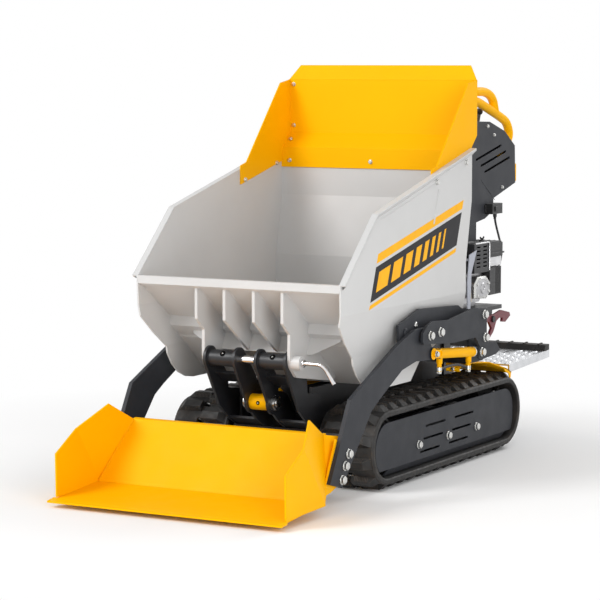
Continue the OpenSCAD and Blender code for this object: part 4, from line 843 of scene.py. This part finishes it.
GUARD_FRONT = [(471, 283), (466, 287), (466, 295), (472, 299), (556, 302)]
GUARD_REAR = [(556, 302), (679, 290), (722, 279), (809, 256), (833, 246), (845, 241), (847, 238.5)]
GUARD_WEB = [(740, 275), (809, 255), (833, 245), (845, 240), (845, 239), (806, 243.5), (740, 243.5)]
GUARD_LIP = [(786, 261), (812, 254), (836, 244), (845, 240), (842, 222), (836, 222), (828, 237), (800, 247)]
GUARD_IN, GUARD_STRIP, GUARD_OUT, GUARD_T = 150, 282, 326, 3
GUARD_BOLT, GUARD_BOLT_R = (304, 466, 291), 5


def folded(bm, line, x0, x1, t):
    """A sheet folded along a line in Y and Z, with its thickness on the line's lower side."""
    rings = []
    for i, (y, z) in enumerate(line):
        run = run_at(line, i)
        low = (y + run.y * t, z - run.x * t)
        corners = ((x0, y, z), (x1, y, z), (x1, *low), (x0, *low))
        rings.append([bm.verts.new(corner) for corner in corners])
    skin(bm, rings)


guards, guard_heads = bmesh.new(), bmesh.new()
for side in SIDES:
    folded(guards, GUARD_FRONT, side * GUARD_STRIP, side * GUARD_OUT, GUARD_T)
    folded(guards, GUARD_REAR, side * GUARD_IN, side * GUARD_OUT, GUARD_T)
    plate(guards, GUARD_WEB, side * GUARD_IN, side * GUARD_T)
    plate(guards, GUARD_LIP, side * (GUARD_OUT - GUARD_T), side * GUARD_T)
    hex_bolt(guard_heads, mirrored(side, GUARD_BOLT), (0, -1, 0), GUARD_BOLT_R)
piece("mudguards", guards, "yellow_paint", "chassis", replaces=["fenders"])
piece("mudguard_bolts", guard_heads, "zinc_steel", "chassis")

# Dark walls that close the chassis between the belts, under the engine and beside the front bracket
REAR_WALL = [(638, 200), (638, 331), (792, 331), (792, 200)]
FRONT_GUSSET = [(-74, 148), (-74, 288), (-40, 286), (190, 285), (262, 300), (262, 203), (10, 203)]
BRACKET_WEB = [(-150, 326), (-136, 316), (-110, 300), (-80, 288), (-34, 282), (190, 282), (190, 205),
               (-60, 205), (-110, 268), (-150, 290)]
# Each wall with its inner face and its thickness
WALLS = ((REAR_WALL, 106, 6), (FRONT_GUSSET, 110, 8), (BRACKET_WEB, 60, 4))

shields = bmesh.new()
for side in SIDES:
    for outline, x, thickness in WALLS:
        plate(shields, outline, side * x, side * thickness)
piece("chassis_shields", shields, "black_paint", "chassis")


# Shovel: welded sheets, with creased sides that run down to a point in front of the arms

SHOVEL_X, SHOVEL_T, LIP_X = 361, 5, 366
SIDE_TOP, SIDE_FOOT = (361, -557, 200), (361, -439, 30)
SIDE_PEAK, BACK_CORNER = (320, -453, 260), (306, -350, 205)
ARM_SIDE = [(345, -303, 197), (345, -398, 78), (358, -437, 30)]
FLOOR_Y, FLOOR_Z = -455, 38
LIP = [(-687, 14), (-687, 19), (-655, 24), (-655, 17)]
FLOOR_FRONT, FLOOR_REAR = (358, -662, 22), (356, FLOOR_Y, FLOOR_Z)
BACK_FOOT, TOP_FLANGE = (357, FLOOR_Y, FLOOR_Z), (306, -336, 207)
SIDE_SHEET = [(-653, 24), (-655, 144), SIDE_TOP[1:], SIDE_FOOT[1:], (-600, 26)]
CHEEK = [(-352, 196), (-296, 172), (-330, 72), (-385, 55), (-425, 50)]
CHEEK_X, CHEEK_T = 340, 6
CORNER_WELD, CORNER_WELD_R = ((352, FLOOR_Y + 1, FLOOR_Z + 3), (302, -352, 204)), 2.2
# Places that tell on which side a sheet has its thickness
UNDER_FLOOR, UNDER_FLANGE, BEHIND_BACK = (0, -560, -90), (0, -340, 100), (0, -300, 50)
IN_SHOVEL, BEHIND_CORNER = (200, -380, 120), (310, -290, 150)


def facet(bm, corners, toward):
    """A flat sheet through corners, with its thickness on the side of a given place."""
    a, b, c = (Vector(p) for p in corners[:3])
    normal = (b - a).cross(c - a).normalized()
    facing = normal.dot(Vector(toward) - a) > 0
    prism(bm, corners, normal * (SHOVEL_T if facing else -SHOVEL_T))


def crossing(front, rear):
    """Corners of a sheet that reaches across, from those on the left."""
    return [mirrored(-1, front), front, rear, mirrored(-1, rear)]


shovel = bmesh.new()
plate(shovel, LIP, -LIP_X, 2 * LIP_X)
facet(shovel, crossing(FLOOR_FRONT, FLOOR_REAR), UNDER_FLOOR)
facet(shovel, crossing(BACK_FOOT, BACK_CORNER), BEHIND_BACK)
facet(shovel, crossing(BACK_CORNER, TOP_FLANGE), UNDER_FLANGE)
for side in SIDES:
    plate(shovel, SIDE_SHEET, side * SHOVEL_X, -side * SHOVEL_T)
    creased = (SIDE_TOP, SIDE_PEAK, BACK_CORNER, SIDE_FOOT)
    facet(shovel, [mirrored(side, p) for p in creased], mirrored(side, IN_SHOVEL))
    for ends in (ARM_SIDE[:2], ARM_SIDE[1:]):
        corners = [mirrored(side, p) for p in (BACK_CORNER, *ends)]
        facet(shovel, corners, mirrored(side, BEHIND_CORNER))
    plate(shovel, CHEEK, side * CHEEK_X, side * CHEEK_T)
    weld(shovel, *(mirrored(side, p) for p in CORNER_WELD), CORNER_WELD_R)
piece("shovel_sheets", shovel, "yellow_paint", "loader", replaces=["shovel"])


# Engine: side cover, guard trim, filter lid, fuel cap and small parts

ENGINE_LEFT = 290
SIDE_COVER = [(640, 486), (640, 530), (664, 550), (724, 550), (752, 530), (752, 496), (728, 480)]
# Steps of the cover and its rim: out from the engine's side, and inset
RIM_STEPS = [(-0.5, 0.0), (1.5, 0.0), (4.5, 0.1), (4.5, 0.16)]
COVER_STEPS = [(1, 0.16), (5, 0.16), (6, 0.19)]
COVER_SEAT, SCREW_INSET = ENGINE_LEFT + 5.5, 0.26
SCREW = [(0, 4.4), (2.6, 4.4), (3.4, 3.4)]
COVER_BOSS, COVER_BOSS_PROFILE = (694, 514), [(0, 17), (2.4, 17), (4, 15), (4, 8), (2, 7)]


def inset(outline, share):
    """The outline drawn in towards its middle."""
    mid_y = sum(p[0] for p in outline) / len(outline)
    mid_z = sum(p[1] for p in outline) / len(outline)
    return [(y + (mid_y - y) * share, z + (mid_z - z) * share) for y, z in outline]


def stepped(bm, outline, x, steps):
    """A plate on a plane across X that narrows in steps outward."""
    skin(bm, [[bm.verts.new((x + out, y, z)) for y, z in inset(outline, share)] for out, share in steps])


cover, rim = bmesh.new(), bmesh.new()
stepped(rim, SIDE_COVER, ENGINE_LEFT, RIM_STEPS)
stepped(cover, SIDE_COVER, ENGINE_LEFT, COVER_STEPS)
for y, z in inset(SIDE_COVER, SCREW_INSET):
    turned(rim, (COVER_SEAT, y, z), (1, 0, 0), SCREW, sides=6)
turned(cover, (COVER_SEAT, *COVER_BOSS), (1, 0, 0), COVER_BOSS_PROFILE, sides=28)
piece("side_cover_rim", rim, "zinc_steel", "chassis")
piece("side_cover", cover, "cast_alloy", "chassis")

TRIM_X, TRIM_R, TRIM_BEND = 293.5, 2.4, 8
TRIM = [(644, 653), (742, 653), (747, 648), (747, 566)]

trim = bmesh.new()
swept(trim, bent([(TRIM_X, y, z) for y, z in TRIM], TRIM_BEND), TRIM_R, sides=12)
piece("guard_trim", trim, "chrome_steel", "chassis")

LID_LOW, LID_HIGH = (198, 754, 645), (286, 855, 650)
LID_RIBS, LID_RIB_LOW, LID_RIB_HIGH = (214, 232, 250, 268), Vector((-3, 768, 649)), Vector((3, 842, 652))
WING_NUT, WING_NUT_PROFILE = (241, 805, 650), [(0, 9), (3, 9), (4, 4), (10, 4)]
WING, WING_T = ((2, 656), (13, 664), (15, 660), (4, 651)), 3

lid = bmesh.new()
block(lid, LID_LOW, LID_HIGH, chamfer=2.0)
for x in LID_RIBS:
    place = Vector((x, 0, 0))
    block(lid, place + LID_RIB_LOW, place + LID_RIB_HIGH, chamfer=1.0)
turned(lid, WING_NUT, (0, 0, 1), WING_NUT_PROFILE)
for lean in (-1, 1):
    plate(lid, [(WING_NUT[1] + lean * y, z) for y, z in WING], WING_NUT[0] - WING_T / 2, WING_T)
piece("filter_lid", lid, "black_plastic", "chassis")

CARBURETTOR_LOW, CARBURETTOR_HIGH = (285, 762, 576), (289, 846, 603)

bowl = bmesh.new()
block(bowl, CARBURETTOR_LOW, CARBURETTOR_HIGH, chamfer=1.5)
piece("carburettor_cover", bowl, "white_plastic", "chassis")

DIPSTICK, DIPSTICK_R = [(286, 616, 562), (286, 617, 540), (286, 622, 500), (286, 626, 478)], 4.0
DIPSTICK_CAP, DIPSTICK_CAP_PROFILE = (286, 616, 560), [(0, 6.5), (9, 6.5), (11, 4)]

pipe = bmesh.new()
swept(pipe, DIPSTICK, DIPSTICK_R, sides=14)
turned(pipe, DIPSTICK_CAP, (0, 0, 1), DIPSTICK_CAP_PROFILE, sides=16)
piece("dipstick_tube", pipe, "cream_plastic", "chassis")

FUEL_CAP = Vector((93, 725, 690))
TANK_CAP = Vector((-175, 705, 658))
CAP_TOOTH = [(-9, 2.2), (0, 2.2), (1.4, 1.2)]

caps = bmesh.new()
for top, r, teeth in ((FUEL_CAP, 26, 18), (TANK_CAP, 30, 22)):
    profile = [(-10, r), (0, r + 0.6), (2.4, r - 1), (3.4, r - 6), (3.4, 5), (2.6, 3)]
    turned(caps, top, (0, 0, 1), profile, sides=40)
    for i in range(teeth):
        turn = 2 * math.pi * i / teeth
        foot = top + Vector((math.cos(turn), math.sin(turn), 0)) * (r + 0.4)
        turned(caps, foot, (0, 0, 1), CAP_TOOTH, sides=8)
piece("filler_caps", caps, "black_plastic", "chassis")

PLUG, PLUG_BOOT = (150, 628, 604), [(0, 10), (6, 10), (8, 7), (22, 7), (24, 8.5), (44, 8.5), (46, 6)]

plug = bmesh.new()
turned(plug, PLUG, (0, -1, 0), PLUG_BOOT, sides=18)
piece("plug_boot", plug, "hose_rubber", "chassis")

GAUGE_LOW, GAUGE_HIGH = (-243.5, 640, 500), (-239.5, 662, 600)
GAUGE_SCREWS, GAUGE_SCREW = ((-240, 651, 508), (-240, 651, 592)), [(0, 7), (5, 7), (6.5, 5)]

gauge = bmesh.new()
block(gauge, GAUGE_LOW, GAUGE_HIGH, chamfer=1.5)
for place in GAUGE_SCREWS:
    turned(gauge, place, (-1, 0, 0), GAUGE_SCREW, sides=6)
piece("level_gauge", gauge, "zinc_steel", "chassis")


# Console: bolts, lever bezels, instrument plate and rear strip

CONSOLE_HW = 250
CONSOLE_BOLTS, CONSOLE_BOLT_R = [(820, 1006), (869, 978), (933, 812)], 5
CONSOLE_SEAM, CONSOLE_SEAM_R = ((776, 841), (877, 775)), 0.9
STRIP_LOW, STRIP_HIGH = (-249, 1033, 826), (249, 1047, 882)
FACE_AHEAD = Vector((0, 80, -48)).normalized()
FACE_OUT = Vector((0, 48, 80)).normalized()
FACE_TOP = Vector((0, 950, 988))
# Bezels at both sides of each lever's slot, and the instrument plate with its knobs
LEVER_X, BEZEL_X, BEZEL_HW, BEZEL_LENGTH = (-120, -60, 60, 120), 18, 4, 92
PANEL_HW, PANEL_START, PANEL_END = 34, 14, 78
SUNK, BEZEL_T, PANEL_T = -0.5, 2.5, 3
KNOBS = ((-14, 34, 12), (15, 34, 10), (-14, 62, 8), (15, 62, 8))
# Sockets that the handlebar's ends stand in
SOCKET_Y, SOCKET_Z, SOCKET_AXIS = 1030, 924, (0, 90, 50)
SOCKET = [(-4, 24), (1, 24), (3, 22), (8, 16), (12, 14.4)]

heads = bmesh.new()
for side in SIDES:
    for y, z in CONSOLE_BOLTS:
        hex_bolt(heads, (side * CONSOLE_HW, y, z), (side, 0, 0), CONSOLE_BOLT_R)
piece("console_bolts", heads, "zinc_steel", "chassis")

seams = bmesh.new()
for side in SIDES:
    swept(seams, [(side * CONSOLE_HW, y, z) for y, z in CONSOLE_SEAM], CONSOLE_SEAM_R, sides=8)
piece("console_seams", seams, "black_paint", "chassis")

strip = bmesh.new()
block(strip, STRIP_LOW, STRIP_HIGH, chamfer=3.0)
piece("console_rear_strip", strip, "yellow_paint", "chassis")


def on_face(x, along, out):
    """A place on the console's sloping face."""
    return FACE_TOP + Vector((x, 0, 0)) + FACE_AHEAD * along + FACE_OUT * out


def face_block(bm, x0, x1, along0, along1, out0, out1):
    """A block that lies on the console's sloping face."""
    outline = [on_face(x0, along0, out0), on_face(x1, along0, out0), on_face(x1, along1, out0),
               on_face(x0, along1, out0)]
    prism(bm, outline, FACE_OUT * (out1 - out0))


bezels = bmesh.new()
for lever in LEVER_X:
    for x in (lever - BEZEL_X, lever + BEZEL_X):
        face_block(bezels, x - BEZEL_HW, x + BEZEL_HW, 0, BEZEL_LENGTH, SUNK, BEZEL_T)
face_block(bezels, -PANEL_HW, PANEL_HW, PANEL_START, PANEL_END, SUNK, PANEL_T)
for x, along, r in KNOBS:
    profile = [(0, r), (5, r), (6.5, r - 1.6), (5.4, r - 3)]
    turned(bezels, on_face(x, along, PANEL_T), FACE_OUT, profile, sides=24)
piece("console_bezels", bezels, "black_plastic", "chassis")

flanges = bmesh.new()
for side in SIDES:
    turned(flanges, (side * BAR_X, SOCKET_Y, SOCKET_Z), SOCKET_AXIS, SOCKET, sides=28)
piece("handlebar_sockets", flanges, "black_paint", "chassis")


# Floor and light, in metres

FLOOR_HALF = 60.0
# The floor keeps its shadow up to the first distance and is white from the second
FADE_START, FADE_END = 0.95, 1.9
WORLD_LEVEL = 0.54
# Each lamp's place, target, width and watts
LAMPS = {
    "key": ((-2.6, -4.4, 3.8), (0.0, 0.0, 0.5), 2.6, 180.0),
    "fill": ((4.2, -4.0, 2.0), (0.0, 0.0, 0.4), 3.0, 85.0),
    "low": ((2.8, -2.4, 0.45), (0.0, -0.2, 0.4), 1.4, 14.0),
    "rim": ((1.5, 4.5, 4.0), (0.0, 0.0, 0.6), 3.0, 120.0),
}


def area_light(name, place, target, size, power):
    lamp = bpy.data.lights.new(name, "AREA")
    lamp.shape = "DISK"
    lamp.size = size
    lamp.energy = power
    made = bpy.data.objects.new(name, lamp)
    made.location = place
    made.rotation_euler = (Vector(target) - Vector(place)).to_track_quat("-Z", "Y").to_euler()
    bpy.context.scene.collection.objects.link(made)


def seen_rays(tree):
    """One for rays from the camera, or reflected or passed on to it."""
    path = tree.nodes.new("ShaderNodeLightPath")
    total = path.outputs["Is Camera Ray"]
    for kind in ("Is Glossy Ray", "Is Transmission Ray"):
        either = tree.nodes.new("ShaderNodeMath")
        either.operation = "MAXIMUM"
        tree.links.new(total, either.inputs[0])
        tree.links.new(path.outputs[kind], either.inputs[1])
        total = either.outputs[0]
    return total


def make_floor():
    """Pale floor that keeps the shadow near the object and fades to white away from it."""
    f = Finish("floor_white")
    f.set(Base_Color=(0.93, 0.93, 0.93, 1.0), Roughness=0.9)
    length = f.node("VectorMath", operation="LENGTH")
    f.feed(length.inputs[0], f.coords)
    fade = f.times(f.spread(length.outputs["Value"], FADE_START, FADE_END, 0.0, 1.0), seen_rays(f.tree))
    white = f.node("Emission")
    white.inputs["Strength"].default_value = 1.0
    blend = f.node("MixShader")
    f.feed(blend.inputs[0], fade)
    f.tree.links.new(f.shader.outputs[0], blend.inputs[1])
    f.tree.links.new(white.outputs[0], blend.inputs[2])
    f.tree.links.new(blend.outputs[0], f.tree.nodes["Material Output"].inputs["Surface"])
    mesh = bpy.data.meshes.new("floor")
    corners = [(x * FLOOR_HALF, y * FLOOR_HALF, 0) for x, y in ((-1, -1), (1, -1), (1, 1), (-1, 1))]
    mesh.from_pydata(corners, [], [(0, 1, 2, 3)])
    mesh.materials.append(f.material)
    floor = bpy.data.objects.new("floor", mesh)
    bpy.context.scene.collection.objects.link(floor)


def make_world():
    """White where it is seen, and a softer level where it only lights."""
    world = bpy.data.worlds.new("studio")
    world.use_nodes = True
    bpy.context.scene.world = world
    tree = world.node_tree
    back = tree.nodes["Background"]
    back.inputs["Color"].default_value = (1.0, 1.0, 1.0, 1.0)
    strength = tree.nodes.new("ShaderNodeMapRange")
    tree.links.new(seen_rays(tree), strength.inputs["Value"])
    strength.inputs["To Min"].default_value = WORLD_LEVEL
    strength.inputs["To Max"].default_value = 1.0
    tree.links.new(strength.outputs[0], back.inputs["Strength"])


make_floor()
make_world()
for name, settings in LAMPS.items():
    area_light(name, *settings)

# Camera at the photograph's angle

camera = bpy.data.objects.new("camera", bpy.data.cameras.new("camera"))
camera.location = (3.33451, -6.19056, 1.21498)
camera.rotation_euler = (math.radians(90 - 5.7855), 0.0, math.radians(29.0114))
camera.data.lens = 142.985
camera.data.sensor_width = 36.0
bpy.context.scene.collection.objects.link(camera)
bpy.context.scene.camera = camera
bpy.context.scene.view_settings.view_transform = "Standard"
